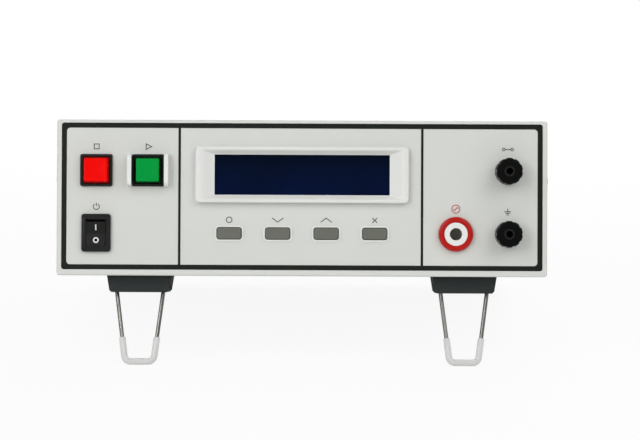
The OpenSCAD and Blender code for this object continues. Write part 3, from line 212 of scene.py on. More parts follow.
# Printed marks: plain signs above the controls, in grey or red ink screened on the film.
# Each is a thin strip of ink laid along a few strokes.
film_face = case_box("panel_border")[0][2]


def grid_faces(rows, columns):
    """Quads of a grid of points, row by row, each row's last point joined to its first."""
    i = np.arange(rows - 1)[:, None] * columns
    j = np.arange(columns)[None, :]
    k = (j + 1) % columns
    return np.stack([i + j, i + k, i + columns + k, i + columns + j], -1).reshape(-1, 4)


def add_piece(name, points, faces, body, finish, stands_for=(), sharp=40):
    """Mesh piece from points along the case's directions, smooth up to an angle in degrees.

    It rides on a body, fills a material slot, and may stand for CAD nodes.
    """
    mesh = bpy.data.meshes.new(name)
    mesh.from_pydata((np.asarray(points).reshape(-1, 3) @ case_axes).tolist(), [], faces)
    mesh.polygons.foreach_set("use_smooth", np.ones(len(mesh.polygons), bool))
    mesh.set_sharp_from_angle(angle=math.radians(sharp))
    mesh.materials.append(finish)
    made = bpy.data.objects.new(name, mesh)
    bpy.context.scene.collection.objects.link(made)
    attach(made, body)
    if stands_for:
        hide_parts(*stands_for)
    return made


def stroke(path, width, closed=False):
    """Strip of ink along a flat path: at each point the mean of its edges' normals sets the mitre."""
    ink_low, ink_high, longest_mitre = 0.01 * mm, 0.05 * mm, 2.5
    path = np.asarray(path, float)
    ahead = np.roll(path, -1, 0) - path
    behind = np.roll(ahead, 1, 0)
    if not closed:
        ahead[-1] = ahead[-2]
        behind[0] = ahead[0]
    edge_a, edge_b = (d / np.linalg.norm(d, axis=1)[:, None] for d in (behind, ahead))
    normal = np.stack([-(edge_a + edge_b)[:, 1], (edge_a + edge_b)[:, 0]], 1)
    normal /= np.linalg.norm(normal, axis=1)[:, None]
    stretch = 1 / np.abs(normal[:, 0] * -edge_b[:, 1] + normal[:, 1] * edge_b[:, 0])
    side = normal * (np.minimum(stretch, longest_mitre) * width / 2)[:, None]
    rows = [np.column_stack([path + s * side, np.full(len(path), h)])
            for s, h in ((-1, ink_low), (-1, ink_high), (1, ink_high), (1, ink_low))]
    points = np.stack(rows, 1)
    if closed:
        points = np.concatenate([points, points[:1]])
    faces = grid_faces(len(points), 4)[:, ::-1].tolist()
    if not closed:
        last = 4 * (len(points) - 1)
        faces += [[0, 1, 2, 3], [last + 3, last + 2, last + 1, last]]
    return points.reshape(-1, 3), faces


def mark(name, strokes, place, body, finish, turn=0.0):
    """One sign from several strokes, turned about the right direction and moved to its place."""
    points, faces, count = [], [], 0
    cos, sin = math.cos(turn), math.sin(turn)
    lean = np.array([[1, 0, 0], [0, cos, sin], [0, -sin, cos]])
    for part_points, part_faces in strokes:
        points.append(part_points @ lean + place)
        faces += [[i + count for i in face] for face in part_faces]
        count += len(part_points)
    add_piece(name, np.concatenate(points), faces, body, finish, sharp=20)


def on_film(node, above):
    """Place on the film at that distance above a control's middle."""
    right, up, _ = middle(node)
    return np.array([right, up + above, film_face])


def arc(radius, begin, end, count=33):
    """Points on a circle from one angle in degrees to another."""
    turn = np.radians(np.linspace(begin, end, count))
    return radius * np.column_stack([np.cos(turn), np.sin(turn)])


# The inks give flat, dark grey and red lines.
ink = moulded("grey_screen_ink", "#3B3E3B", "#353835", 0.5, 0.4, 0.006)
red_ink = moulded("red_screen_ink", "#B8332C", "#AE2E28", 0.5, 0.4, 0.006)
line = 0.5 * mm
above_key, above_button, above_switch = 7.7 * mm, 13.6 * mm, 15.0 * mm
above_post, above_output = 12.8 * mm, 14.4 * mm
chevron = np.array([[-3.2, -1.2], [0.0, 1.2], [3.2, -1.2]]) * mm
cross = np.array([[-1.4, -1.4], [1.4, 1.4]]) * mm
square = np.array([[-1.4, -1.4], [1.4, -1.4], [1.4, 1.4], [-1.4, 1.4]]) * mm
arrow = np.array([[-1.3, -1.6], [1.8, 0], [-1.3, 1.6]]) * mm
power_bar = np.array([[0, 0.2], [0, 2.2]]) * mm
loop_bar = np.array([[-1.6, 0], [1.6, 0]]) * mm
loop_end = 2.4 * mm
earth_bars = [np.array(bar) * mm for bar in (
    [[-1.9, 0.2], [1.9, 0.2]], [[-1.25, -0.7], [1.25, -0.7]], [[-0.6, -1.6], [0.6, -1.6]],
    [[0, 2.0], [0, 0.2]])]
wave = np.linspace(-1, 1, 25)
source_wave = np.column_stack([wave * 1.4, 0.8 * np.sin(np.pi * wave)]) * mm
signs = [
    ("mark_enter", "key_1", above_key, [stroke(arc(1.6 * mm, 0, 349, 32), line, True)]),
    ("mark_down", "key_2", above_key, [stroke(chevron * [1, -1], line)]),
    ("mark_up", "key_3", above_key, [stroke(chevron, line)]),
    ("mark_leave", "key_4", above_key, [stroke(cross, line), stroke(cross * [1, -1], line)]),
    ("mark_stop", "reset_button", above_button, [stroke(square, line, True)]),
    ("mark_start", "test_button", above_button, [stroke(arrow, line, True)]),
    ("mark_power", "power_switch_body", above_switch,
     [stroke(arc(1.7 * mm, 125, 415), line), stroke(power_bar, line)]),
    ("mark_return", "return_post_cap", above_post, [stroke(bar, line) for bar in earth_bars]),
    ("mark_loop", "check_post_cap", above_post,
     [stroke(arc(0.75 * mm, 0, 345, 24) + [side * loop_end, 0], line, True) for side in (-1, 1)]
     + [stroke(loop_bar, line)])]
for name, control, above, strokes in signs:
    mark(name, strokes, on_film(control, above), "case", ink)
mark("mark_output", [stroke(arc(2.3 * mm, 0, 351, 40), line, True), stroke(source_wave, line)],
     on_film("hv_ring", above_output), "case", red_ink)


# Display surround: a white ABS moulding pressed through the panel, with sloping inner faces.
# The slopes meet in mitres, and all outer edges are softened.
def rounded_loops(half_w, half_h, radius, out, per_corner=8):
    """Stack of round-cornered rectangles: four quarter arcs each, at a height out.

    Half width, half height, corner radius and height have one value for each loop.
    """
    turn = np.concatenate([np.linspace(0, 90, per_corner + 1) + 90 * k for k in range(4)])
    cos, sin = np.cos(np.radians(turn)), np.sin(np.radians(turn))
    side_x = np.repeat([1, -1, -1, 1], per_corner + 1)
    side_y = np.repeat([1, 1, -1, -1], per_corner + 1)
    w, h, r, z = (np.asarray(v, float)[:, None] for v in (half_w, half_h, radius, out))
    return np.stack([side_x * (w - r) + r * cos, side_y * (h - r) + r * sin, z + 0 * turn], -1)


def loft(loops, first_cap=False, last_cap=False):
    """Points and faces of the skin through a stack of loops, with flat caps where asked."""
    rows, columns = loops.shape[:2]
    faces = grid_faces(rows, columns).tolist()
    if first_cap:
        faces.append(list(range(columns))[::-1])
    if last_cap:
        faces.append([(rows - 1) * columns + j for j in range(columns)])
    return loops.reshape(-1, 3), faces


def inward(half, rim, window, outer, slope):
    """Half sizes of the surround's loops: over its outer edge, down its slope, along its throat."""
    slope_start = half - rim
    return np.concatenate([half - outer, slope_start + (window - slope_start) * slope,
                           [window, window]])


# Satin white plastic gives soft highlights along the edges and clear steps of grey on the slopes.
white_abs = moulded("white_satin_abs", "#E1E2DF", "#DCDDDA", 0.36, 0.8, 0.012)
low, high = case_box("display_surround")
centre = (low + high) / 2
half_w, half_h = (high - low)[:2] / 2
rise = high[2] - film_face
pane_face = case_box("display_pane")[1][2]
rim_w, rim_h = 3.2 * mm, 1.8 * mm
window_w, window_h = 50.0 * mm, 11.5 * mm
edge, corner_r, slope_corner_r, least_r = 0.9 * mm, 2.4 * mm, 1.2 * mm, 0.02 * mm
throat, throat_l = 0.5 * mm, 0.4 * mm
round_over = np.radians(np.linspace(0, 90, 7))
outer = np.concatenate([[0.0], edge * (1 - np.cos(round_over))])
outer_z = np.concatenate([[0.0], rise - edge + edge * np.sin(round_over)])
slope = np.array([0.0, 0.04, 0.12, 0.5, 0.95, 1.0])
drop = np.array([0.0, 0.01, 0.06, 0.47, 0.975, 1.0])
radius = np.concatenate([corner_r - outer, slope_corner_r * (1 - slope), [0, 0]])
depth = np.concatenate([outer_z, rise - (rise - throat) * drop,
                        [throat - throat_l, pane_face - film_face]])
loops = rounded_loops(inward(half_w, rim_w, window_w, outer, slope),
                      inward(half_h, rim_h, window_h, outer, slope),
                      np.maximum(radius, least_r), depth)
points, faces = loft(loops)
add_piece("surround_moulding", points + [centre[0], centre[1], film_face], faces, "case", white_abs,
          ["display_surround"], sharp=32)


# Display pane: a plate of tinted acrylic, polished in the mould, set in the surround's throat.
# The display behind it is off, so it is nearly black; painted shade darkens its top and a painted
# reflection blues its lower edge.
def combine(tree, first, second, operation):
    """Two values put together by one operation."""
    return add(tree, "ShaderNodeMath", {0: first, 1: second}, operation=operation).outputs["Value"]


# The polish gives clear mirror images on a deep blue ground painted with shade and reflection.
pane, tree, place = start("tinted_acrylic_painted_shade_reflection")
pane_low, pane_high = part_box("display_pane")
height = add(tree, "ShaderNodeSeparateXYZ", {"Vector": place}).outputs["Z"]
# Painted shade and reflection: 0 at the pane's top, rising to 1 at its lower edge, broken into
# patches.
lower = spread(tree, height, 0.0, 1.0, pane_high[2], pane_low[2])
painted_light_patches = noise(tree, place, 40, 1.0)
tint = shades(tree, combine(tree, lower, painted_light_patches, "MULTIPLY"), "#010A18", "#051646")
surface(tree, {"Base Color": tint, "Roughness": 0.05, "IOR": 1.49})
dress(pane, "display_pane")


# Push buttons: moulded acrylic caps, one red and one green, in black nylon housings that clamp the
# panel. A white ABS guard stands on both sides of the green one.
def soften(width, *nodes):
    """Round CAD nodes' sharp edges by a width in mm; a weld joins their loose triangles first."""
    weld_reach, sharp_from = 0.002 * mm, math.radians(35)
    for name in nodes:
        node = frame["nodes"][name]
        node.modifiers.new("joined", "WELD").merge_threshold = weld_reach
        rounded = node.modifiers.new("edges", "BEVEL")
        rounded.width = width * mm
        rounded.segments = 2
        rounded.limit_method = "ANGLE"
        rounded.angle_limit = sharp_from
        rounded.harden_normals = True


def cap_finish(name, face, wall):
    """Dyed lens: the piece's wall attribute, 0 on its face and 1 low on its walls, mixes the dyed face
    colour into a darker wall colour that is painted shade.
    """
    grain_size, grain_depth = 1.2, 0.01
    made, tree, place = start(name)
    depth = add(tree, "ShaderNodeAttribute", {}, attribute_name="wall").outputs["Fac"]
    grain = noise(tree, place, grain_size, 2.0)
    surface(tree, {"Base Color": shades(tree, depth, face, wall),
                   "Roughness": spread(tree, grain, 0.24, 0.30),
                   "Normal": relief(tree, grain, 0.04, grain_depth),
                   "IOR": 1.49, "Specular IOR Level": 0.05})
    return made


def button_cap(name, node, body, finish):
    """Cap of stacked loops: a straight skirt, walls that lean in, a rounded edge and a dished face."""
    lean, edge = 0.85 * mm, 0.25 * mm
    skirt_end, skirt_start = 12.0 * mm, 5.0 * mm
    skirt_corner, face_corner = 0.8 * mm, 0.5 * mm
    dish_in, dish_down = np.array([2.2, 4.2, 6.2]) * mm, np.array([0.06, 0.16, 0.2]) * mm
    # Painted shade: each loop's share of the darker wall colour, full low on the walls, none on the
    # face.
    wall_shade_share = np.array([1, 1, 1, 1, 0.8, 0.4, 0, 0, 0, 0, 0], np.float32)
    low, high = case_box(node)
    centre = (low + high) / 2
    half = (high - low)[0] / 2
    top = high[2]
    bend = np.radians(np.linspace(0, 90, 6))
    inset = np.concatenate([[0, 0], lean + edge * (1 - np.cos(bend)), dish_in])
    depth = np.concatenate([[top - skirt_end, top - skirt_start],
                            top - edge + edge * np.sin(bend), top - dish_down])
    radius = np.linspace(skirt_corner, face_corner, len(inset))
    loops = rounded_loops(half - inset, half - inset, radius, depth, 6)
    points, faces = loft(loops, True, True)
    made = add_piece(name, points + [centre[0], centre[1], 0], faces, body, finish, [node],
                     sharp=50)
    wall = made.data.attributes.new("wall", "FLOAT", "POINT")
    wall.data.foreach_set("value", np.repeat(wall_shade_share, loops.shape[1]))


# The caps give flat, strong colours, their walls painted darker as shade; the housings a satin black,
# the guard white.
housing_black = moulded("black_satin_nylon", "#121513", "#181B19", 0.42, 0.7, 0.02, 0.22)
# Painted shade: each cap's second colour is the darker shade painted on its walls.
red_lens = cap_finish("red_acrylic_painted_wall_shade", "#F00502", "#BC0905")
green_lens = cap_finish("green_acrylic_painted_wall_shade", "#02953C", "#073D1E")
guard_white = moulded("white_gloss_abs", "#E6E7E5", "#E0E1DF", 0.3, 0.8, 0.01)
dress(housing_black, "reset_housing", "test_housing")
soften(0.3, "reset_housing", "test_housing")
button_cap("reset_lens", "reset_button", "reset_cap", red_lens)
button_cap("test_lens", "test_button", "test_cap", green_lens)
dress(guard_white, "test_guard")
soften(0.4, "test_guard")


# Button springs: coils of drawn spring steel between each housing's seat and its cap.
# In the switch they shorten as the cap is pressed; each coil here is built at one length and rides on
# the case.
def plated(name, shade, roughness, streak):
    """Plated or drawn metal: streaks of that width in mm along the depth break up the polish."""
    streak_stretch, streak_depth = (1.0, 0.12, 1.0), 0.01
    made, tree, place = start(name)
    drawn = add(tree, "ShaderNodeMapping", {"Vector": place, "Scale": streak_stretch})
    lines = noise(tree, drawn.outputs["Vector"], streak, 3.0)
    surface(tree, {"Base Color": linear(shade), "Metallic": 1.0,
                   "Roughness": spread(tree, lines, roughness * 0.7, roughness * 1.4),
                   "Normal": relief(tree, lines, 0.12, streak_depth)})
    return made


def coil(radius, wire, length, turns, per_turn=28, sides=12):
    """Coil spring: a circle of the wire's radius carried up a helix, its plane through the axis."""
    climb = np.linspace(0, 1, turns * per_turn + 1)[:, None]
    angle = 2 * np.pi * turns * climb
    round_wire = np.linspace(0, 2 * np.pi, sides, endpoint=False)[None, :]
    reach = radius + wire * np.cos(round_wire)
    height = wire + (length - 2 * wire) * climb + wire * np.sin(round_wire)
    return np.stack([reach * np.cos(angle), reach * np.sin(angle), height], -1)


# Drawn steel gives a bright line along each turn.
spring_steel = plated("drawn_spring_steel", "#B9BBBB", 0.3, 0.3)
spring_wire_r, spring_turns = 0.4 * mm, 6
for button in ("reset", "test"):
    low, high = case_box(button + "_spring")
    length = high[2] - low[2]
    spring_r = (high - low)[0] / 2 - spring_wire_r
    seat = np.array([*middle(button + "_button")[:2], low[2]])
    points, faces = loft(coil(spring_r, spring_wire_r, length, spring_turns), True, True)
    made = add_piece(button + "_coil", points + seat, [face[::-1] for face in faces], "case",
                     spring_steel, [button + "_spring"], sharp=60)
    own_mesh(made)


# Power switch: a black nylon rocker on a pin in a body that snaps into the panel.
# A white bar and a white ring are pad printed on its two halves, which slope towards its middle.
# Rocker and body give two satin blacks; the print is a clean white.
rocker_black = moulded("black_gloss_nylon", "#0F1210", "#141715", 0.34, 0.7, 0.015, 0.25)
white_ink = moulded("white_pad_print", "#E8EAE6", "#DFE1DD", 0.5, 0.4, 0.006)
dress(housing_black, "power_switch_body")
dress(rocker_black, "power_rocker")
soften(0.35, "power_switch_body", "power_rocker")
rock = case_axes @ np.array(joint("power_rock")["pos_m"])
thrown = math.radians(7)
half_drop, half_length = 1.4 * mm, 6.9 * mm
half_slope = math.atan2(half_drop, half_length)
sign_reach, sign_out, sign_line = 3.7 * mm, 4.36 * mm, 0.65 * mm
on_bar = np.array([[0, -1.7], [0, 1.7]]) * mm
off_ring = arc(1.3 * mm, 0, 350, 36)
for name, side, sign in (("mark_on", 1, stroke(on_bar, sign_line)),
                         ("mark_off", -1, stroke(off_ring, sign_line, True))):
    reach = side * sign_reach
    face = rock + [0, reach * math.cos(thrown) - sign_out * math.sin(thrown),
                   reach * math.sin(thrown) + sign_out * math.cos(thrown)]
    mark(name, [sign], face, "rocker", white_ink, thrown + side * half_slope)


# Keys: grey ABS caps with rounded edges, each in a raised ring embossed in the film.
# Their flanges stay behind the panel, and the switches on the board behind spring them.
# The caps give a satin mid grey, the embossed rings a pale line round them, painted lighter as a
# highlight.
key_grey = moulded("grey_satin_abs", "#696B62", "#62645B", 0.4, 0.6, 0.015)
# Painted highlight: the ring's film is lighter than the panel's film, for the light caught by the
# raised rim.
film_ring_highlight = moulded("embossed_film_painted_highlight", "#E6E8E4", "#E1E3DF", 0.42, 0.5, 0.008)
flange_w, flange_t = 1.2 * mm, 1.0 * mm
edge, corner_r = 0.5 * mm, 1.2 * mm
dish_in, dish_down = np.array([1.4, 2.4]) * mm, np.array([0.02, 0.05]) * mm
cap_radius = np.concatenate([[0.2, 0.2, 1.2, 1.2], np.linspace(1.2, 0.9, 6), [0.5, 0.3]]) * mm
ring_w, ring_gap, ring_rise, ring_bow = 1.1 * mm, 0.35 * mm, 0.5 * mm, 0.3 * mm
bend = np.radians(np.linspace(0, 90, 6))
bow = np.radians(np.linspace(0, 180, 9))
ring_inset = np.concatenate([[-ring_gap - ring_w], -ring_gap - ring_w / 2 * (1 + np.cos(bow)),
                             [-ring_gap]])
ring_depth = np.concatenate([[0], ring_rise - ring_bow * (1 - np.sin(bow)), [0]]) + film_face
for number, body in enumerate(("key_one", "key_two", "key_three", "key_four"), 1):
    key = "key_%d" % number
    low, high = case_box(key)
    half_w, half_h = (high - low)[:2] / 2 - flange_w
    place = [*((low + high) / 2)[:2], 0]
    inset = np.concatenate([[-flange_w, -flange_w, 0, 0], edge * (1 - np.cos(bend)), dish_in])
    depth = np.concatenate([[low[2], low[2] + flange_t, low[2] + flange_t, high[2] - edge],
                            high[2] - edge + edge * np.sin(bend), high[2] - dish_down])
    loops = rounded_loops(half_w - inset, half_h - inset, cap_radius, depth, 6)
    points, faces = loft(loops, True, True)
    add_piece("key_cap_%d" % number, points + place, faces, body, key_grey, [key],
              sharp=50)
    loops = rounded_loops(half_w - ring_inset, half_h - ring_inset, corner_r - ring_inset, ring_depth)
    points, faces = loft(loops)
    add_piece("key_ring_%d" % number, points + place, faces, "case", film_ring_highlight,
              sharp=60)


# Test terminals: a red nylon ring round a white PTFE high-voltage socket, and two binding posts.
# The posts' fluted phenolic caps turn on plated brass studs that take 4 mm plugs.
# The plastics give soft highlights on red, white and deep black; the studs' nickel is painted near
# black as the shade in their bores, the contact pale beige as light down its bore.
ring_red = moulded("red_semigloss_nylon", "#B9130C", "#AD100A", 0.3, 0.9, 0.01, 0.3)
socket_white = moulded("white_ptfe", "#E9EAE7", "#E3E4E1", 0.38, 0.8, 0.008)
post_black = moulded("black_phenolic", "#060807", "#090B0A", 0.34, 0.8, 0.01, 0.12)
# Painted light: the contact is a pale, non-metal beige that stands in for light reaching down the
# socket's bore.
contact_painted_light = moulded("contact_painted_pale_light", "#E2D8C4", "#D6CCB8", 0.4, 0.5, 0.01)
# Painted shade: the studs' nickel is near black for the shade inside their bores.
nickel_painted_dark = plated("nickel_plate_painted_dark", "#3A3936", 0.4, 0.25)
dress(ring_red, "hv_ring")
dress(socket_white, "hv_insulator")
dress(contact_painted_light, "hv_contact")
dress(post_black, "post_bases", "return_post_cap", "check_post_cap")
dress(nickel_painted_dark, "post_studs")


# Feet: charcoal nylon mouldings screwed up under the tray; the front pair hold the wire legs.
# Their grain gives a dull, dark skin with soft highlights on its edges.
foot_plastic = moulded("charcoal_grained_nylon", "#252B2B", "#2B3131", 0.5, 0.7, 0.03, 0.25)
dress(foot_plastic, "front_foot_left", "front_foot_right", "rear_feet")
soften(0.3, "front_foot_left", "front_foot_right", "rear_feet")


# Tilt legs: each is one zinc-plated wire bent to a tapered U, its ends turned out into the foot.
# A clear soft sleeve is pushed over the bar that stands on the bench.
def rounded_path(corners, radii, per_bend=10):
    """Flat path with its inner corners turned into arcs.

    Each arc starts its radius times the tangent of half the turn before the corner.
    """
    corners = np.asarray(corners, float)
    ahead = np.diff(corners, axis=0)
    ahead /= np.linalg.norm(ahead, axis=1)[:, None]
    path = [corners[:1]]
    for here, before, after, radius in zip(corners[1:-1], ahead[:-1], ahead[1:], radii):
        turn = math.acos(np.clip(before @ after, -1, 1))
        side = np.sign(before[0] * after[1] - before[1] * after[0])
        begin = here - before * radius * math.tan(turn / 2)
        hub = begin + side * radius * np.array([-before[1], before[0]])
        angle = side * np.linspace(0, turn, per_bend)
        spoke = begin - hub
        path.append(hub + np.column_stack([np.cos(angle) * spoke[0] - np.sin(angle) * spoke[1],
                                           np.sin(angle) * spoke[0] + np.cos(angle) * spoke[1]]))
    return np.concatenate(path + [corners[-1:]])


def tube(path, radius, sides=20):
    """Round tube along a flat path: circles of the given radii, square to the path's direction."""
    along = np.gradient(path, axis=0)
    along /= np.linalg.norm(along, axis=1)[:, None]
    normal = np.column_stack([-along[:, 1], along[:, 0]])
    turn = np.linspace(0, 2 * np.pi, sides, endpoint=False)
    radius = np.reshape(radius, (-1, 1))
    flat = path[:, None, :] + normal[:, None, :] * (np.cos(turn) * radius)[..., None]
    return np.concatenate([flat, (np.sin(turn) * radius)[..., None]], -1)


# The plating gives a bright core between dark edges.
leg_zinc = plated("zinc_plated_wire", "#94938F", 0.28, 0.5)
# The vinyl gives a pale, cloudy skin through which the wire is just seen.
sleeve, tree, place = start("clear_soft_vinyl")
scuff = noise(tree, place, 2.0, 3.0)
surface(tree, {"Base Color": linear("#F7F8F6"), "Roughness": spread(tree, scuff, 0.22, 0.38),
               "IOR": 1.45, "Alpha": 0.7})
wire_r, sleeve_r, sleeve_edge = 1.2 * mm, 1.9 * mm, 0.7 * mm
leg_l, top_w, low_w, pivot_w = 45.0 * mm, 28.0 * mm, 16.4 * mm, 33.8 * mm
bends = [1.6 * mm, 3.6 * mm, 3.6 * mm, 1.6 * mm]
covered, sleeve_steps = 13.2 * mm, 90
lean = math.radians(6)
corners = np.array([[-pivot_w, 0], [-top_w, 0], [-low_w, -2 * leg_l],
                    [low_w, -2 * leg_l], [top_w, 0], [pivot_w, 0]]) / 2
wire_path = rounded_path(corners, bends)
run = np.concatenate([[0], np.cumsum(np.linalg.norm(np.diff(wire_path, axis=0), axis=1))])
half_sleeve = low_w / 2 + covered
sleeved = np.linspace(run[-1] / 2 - half_sleeve, run[-1] / 2 + half_sleeve, sleeve_steps)
sleeve_path = np.column_stack([np.interp(sleeved, run, wire_path[:, i]) for i in (0, 1)])
from_end = np.clip(np.minimum(sleeved - sleeved[0], sleeved[-1] - sleeved) / sleeve_edge, 0, 1)
wall = wire_r + (sleeve_r - wire_r) * np.sqrt(np.clip(1 - (1 - from_end) ** 2, 0, 1))
hang = np.array([[1, 0, 0], [0, math.cos(lean), -math.sin(lean)],
                 [0, math.sin(lean), math.cos(lean)]])
for side in ("left", "right"):
    origin = case_axes @ np.array(joint(side + "_leg_fold")["pos_m"])
    for name, rings, finish, slot, node in (
            ("leg_wire_", tube(wire_path, np.full(len(wire_path), wire_r)), leg_zinc, "leg_wire",
             "tilt_leg_"),
            ("leg_sleeve_skin_", tube(sleeve_path, wall), sleeve, "leg_sleeve", "leg_sleeve_")):
        points, faces = loft(rings, True, True)
        add_piece(name + side, points @ hang + origin, [face[::-1] for face in faces],
                  side + "_leg", finish, [node + side], sharp=50)


# Fasteners: steel screws and nuts that hold the case, the feet and the terminals.
# Zinc plate gives small bright heads.
zinc = plated("bright_zinc_plate", "#B2B4B2", 0.3, 0.4)
dress(zinc, "case_screws", "foot_screws", "terminal_nuts")


# Rear fittings: inlet, fuse holder, voltage selector and fan in black nylon, two connectors in tinned
# steel shells and a plated brass earth terminal, set in the rear panel under a few plain signs.
# The nylon gives a dull black, the selector's knob a satin red, the metals soft greys and gold.
inlet_black = moulded("black_grained_nylon", "#141614", "#1A1C1A", 0.45, 0.8, 0.02)
selector_red = moulded("red_satin_nylon", "#B3201A", "#A81C17", 0.4, 0.8, 0.01)
tinned = plated("tinned_steel", "#A6A9A8", 0.32, 0.6)
nickel = plated("nickel_plated_brass", "#9A988F", 0.25, 0.25)
gold_brass = plated("turned_brass", "#A89A72", 0.3, 0.3)
dress(inlet_black, "mains_inlet", "fuse_holder", "fuse_cap", "selector_body", "fan_frame", "fan_rotor")
soften(0.3, "mains_inlet", "selector_body")
dress(selector_red, "selector_knob")
dress(tinned, "remote_connectors")
dress(nickel, "inlet_pins", "earth_terminal")
rear_face = case_box("rear_panel")[0][2]
above_fitting = 4.5 * mm
fuse_box = np.array([[-2.4, -0.9], [2.4, -0.9], [2.4, 0.9], [-2.4, 0.9]]) * mm
fuse_wire = np.array([[-3.6, 0], [3.6, 0]]) * mm
mains_wave = np.column_stack([wave * 2.4, 0.9 * np.sin(np.pi * wave)]) * mm
for name, node, strokes in (
        ("mark_mains", "mains_inlet", [stroke(-mains_wave, line)]),
        ("mark_fuse", "fuse_holder", [stroke(-fuse_box, line, True), stroke(-fuse_wire, line)]),
        ("mark_earth", "earth_terminal", [stroke(-bar, line) for bar in earth_bars])):
    place = np.array([middle(node)[0], case_box(node)[1][1] + above_fitting, rear_face])
    mark(name, strokes, place, "case", ink, math.pi)


def pan_head(radius, height, rings=14, spokes=64):
    """Screw head on a polar grid: a low dome over its rim, sunk by a cross that runs out smoothly."""
    rim_share, recess_share = 0.55, 0.45
    cross_half, cross_ramp = 0.14 * radius, 0.05 * radius
    cross_reach, cross_fade = 0.62, 0.08
    share = np.concatenate([[1, 1], np.linspace(0.985, 0.02, rings)])[:, None]
    turn = np.linspace(0, 2 * np.pi, spokes, endpoint=False)[None, :]
    x, y = radius * share * np.cos(turn), radius * share * np.sin(turn)
    dome = height * (rim_share + (1 - rim_share) * np.sqrt(1 - share ** 2))
    from_arm = np.minimum(np.abs(x), np.abs(y))
    sunk = (np.clip((cross_half - from_arm) / cross_ramp + 1, 0, 1)
            * np.clip((cross_reach - share) / cross_fade, 0, 1))
    dome = dome - recess_share * height * sunk
    dome[0] = 0
    return np.stack([x, y, dome], -1)


fan_middle, inlet_middle = middle("fan_frame"), middle("mains_inlet")
fan_hole, inlet_hole = 25.0 * mm, 20.0 * mm
inlet_face = case_box("mains_inlet")[0][2]
head_r, head_h = 2.7 * mm, 1.8 * mm
facing_rear = np.array([-1, 1, -1])
spots = [("fan_screw_%d" % number, fan_middle[0] + side * fan_hole, fan_middle[1] + level * fan_hole,
          rear_face) for number, side, level in ((1, -1, -1), (2, 1, -1), (3, 1, 1), (4, -1, 1))]
spots += [("inlet_screw_%d" % number, inlet_middle[0] + side * inlet_hole, inlet_middle[1], inlet_face)
          for number, side in ((1, -1), (2, 1))]
points, faces = loft(pan_head(head_r, head_h), True, True)
for name, *place in spots:
    add_piece(name, points * facing_rear + place, faces, "case", zinc, sharp=35)

insert_low_w, insert_top_w, insert_h, insert_t = 12.4 * mm, 15.2 * mm, 6.6 * mm, 0.04 * mm
outline = np.array([[-insert_low_w, -insert_h], [insert_low_w, -insert_h],
                    [insert_top_w, insert_h], [-insert_top_w, insert_h]]) / 2
insert = np.stack([np.column_stack([outline, np.full(4, level)]) for level in (0.0, insert_t)])
contact_pitch, contact_row, contact_line = 2.77 * mm, 1.4 * mm, 0.3 * mm
contact = arc(0.45 * mm, 0, 337.5, 16)
contacts = ([[i * contact_pitch, contact_row] for i in (-2, -1, 0, 1, 2)]
            + [[i * contact_pitch, -contact_row] for i in (-1.5, -0.5, 0.5, 1.5)])
connector_step = 12.0 * mm
connector_right, connector_up, _ = middle("remote_connectors")
connector_face = case_box("remote_connectors")[0][2]
for name, side in (("upper", 1), ("lower", -1)):
    place = np.array([connector_right, connector_up + side * connector_step, connector_face])
    points, faces = loft(insert, True, True)
    add_piece("connector_insert_" + name, points * facing_rear + place, faces, "case", inlet_black)
    rings = [stroke(-(contact + spot), contact_line, True) for spot in contacts]
    mark("connector_contacts_" + name, rings, place - [0, 0, insert_t], "case", gold_brass,
         math.pi)


# Inside: boards on brass spacers, the display's can, transformers, heat sink and high-voltage lead.
# They stand on the tray or hang behind the panel and are seen only through the slots.
# Each gives its usual colour in the half dark: green mask, grey steel, brown copper, pale jacket.
board_green = moulded("green_solder_mask", "#1F5B36", "#1A4F2E", 0.35, 1.5, 0.02)
core_steel = plated("varnished_laminations", "#5F6364", 0.45, 0.5)
copper = plated("varnished_copper", "#A8682C", 0.35, 0.4)
silicone = moulded("silicone_jacket", "#D9DBD6", "#D1D3CE", 0.5, 0.8, 0.01)
extruded = plated("extruded_aluminium", "#A4A8A8", 0.35, 0.5)
dress(board_green, "display_board", "keypad_board", "control_board")
dress(gold_brass, "board_spacers")
dress(tinned, "display_can")
dress(core_steel, "hv_core", "supply_core")
dress(copper, "hv_winding", "supply_winding")
dress(silicone, "hv_lead")
dress(extruded, "heat_sink")


# Stage: a white bench top under a white sweep, lit by two soft boxes and a small fill in front,
# one soft box overhead and one behind. The sweep is white to the eye, but the room behind the
# viewer is dim, so polished faces stay dark.
def bench_white():
    """White paper: part of it glows to the eye, and it fades into the sweep from 0.35 to 1.1 m out."""
    fibre_size, glow_share, fade_from, fade_to = 3.0, 0.92, 0.35, 1.1
    made, tree, place = start("white_paper_sweep")
    seen = add(tree, "ShaderNodeLightPath", {}).outputs["Is Camera Ray"]
    tint = shades(tree, noise(tree, place, fibre_size, 2.0), "#F4F4F3", "#F0F0EF")
    paper = add(tree, "ShaderNodeBsdfDiffuse", {"Color": tint}).outputs["BSDF"]
    glow = add(tree, "ShaderNodeEmission", {"Color": (1, 1, 1, 1), "Strength": 1.0})
    lit = add(tree, "ShaderNodeMixShader", {0: combine(tree, seen, glow_share, "MULTIPLY"),
                                            1: paper, 2: glow.outputs["Emission"]})
    away = add(tree, "ShaderNodeVectorMath", {0: place}, operation="LENGTH").outputs["Value"]
    fade = spread(tree, away, 0.0, 1.0, fade_from, fade_to, interpolation_type="SMOOTHSTEP")
    clear = add(tree, "ShaderNodeBsdfTransparent", {}).outputs["BSDF"]
    sweep = add(tree, "ShaderNodeMixShader", {0: fade, 1: lit.outputs["Shader"], 2: clear})
    add(tree, "ShaderNodeOutputMaterial", {"Surface": sweep.outputs["Shader"]})
    return made


bench_half, bench_top = 1.5, -0.2 * mm
bench_mesh = bpy.data.meshes.new("bench_top")
bench_mesh.from_pydata([(x * bench_half, y * bench_half, bench_top)
                        for x, y in ((-1, -1), (1, -1), (1, 1), (-1, 1))], [], [(0, 1, 2, 3)])
bench_mesh.materials.append(bench_white())
bench = bpy.data.objects.new("bench_top", bench_mesh)
bpy.context.scene.collection.objects.link(bench)

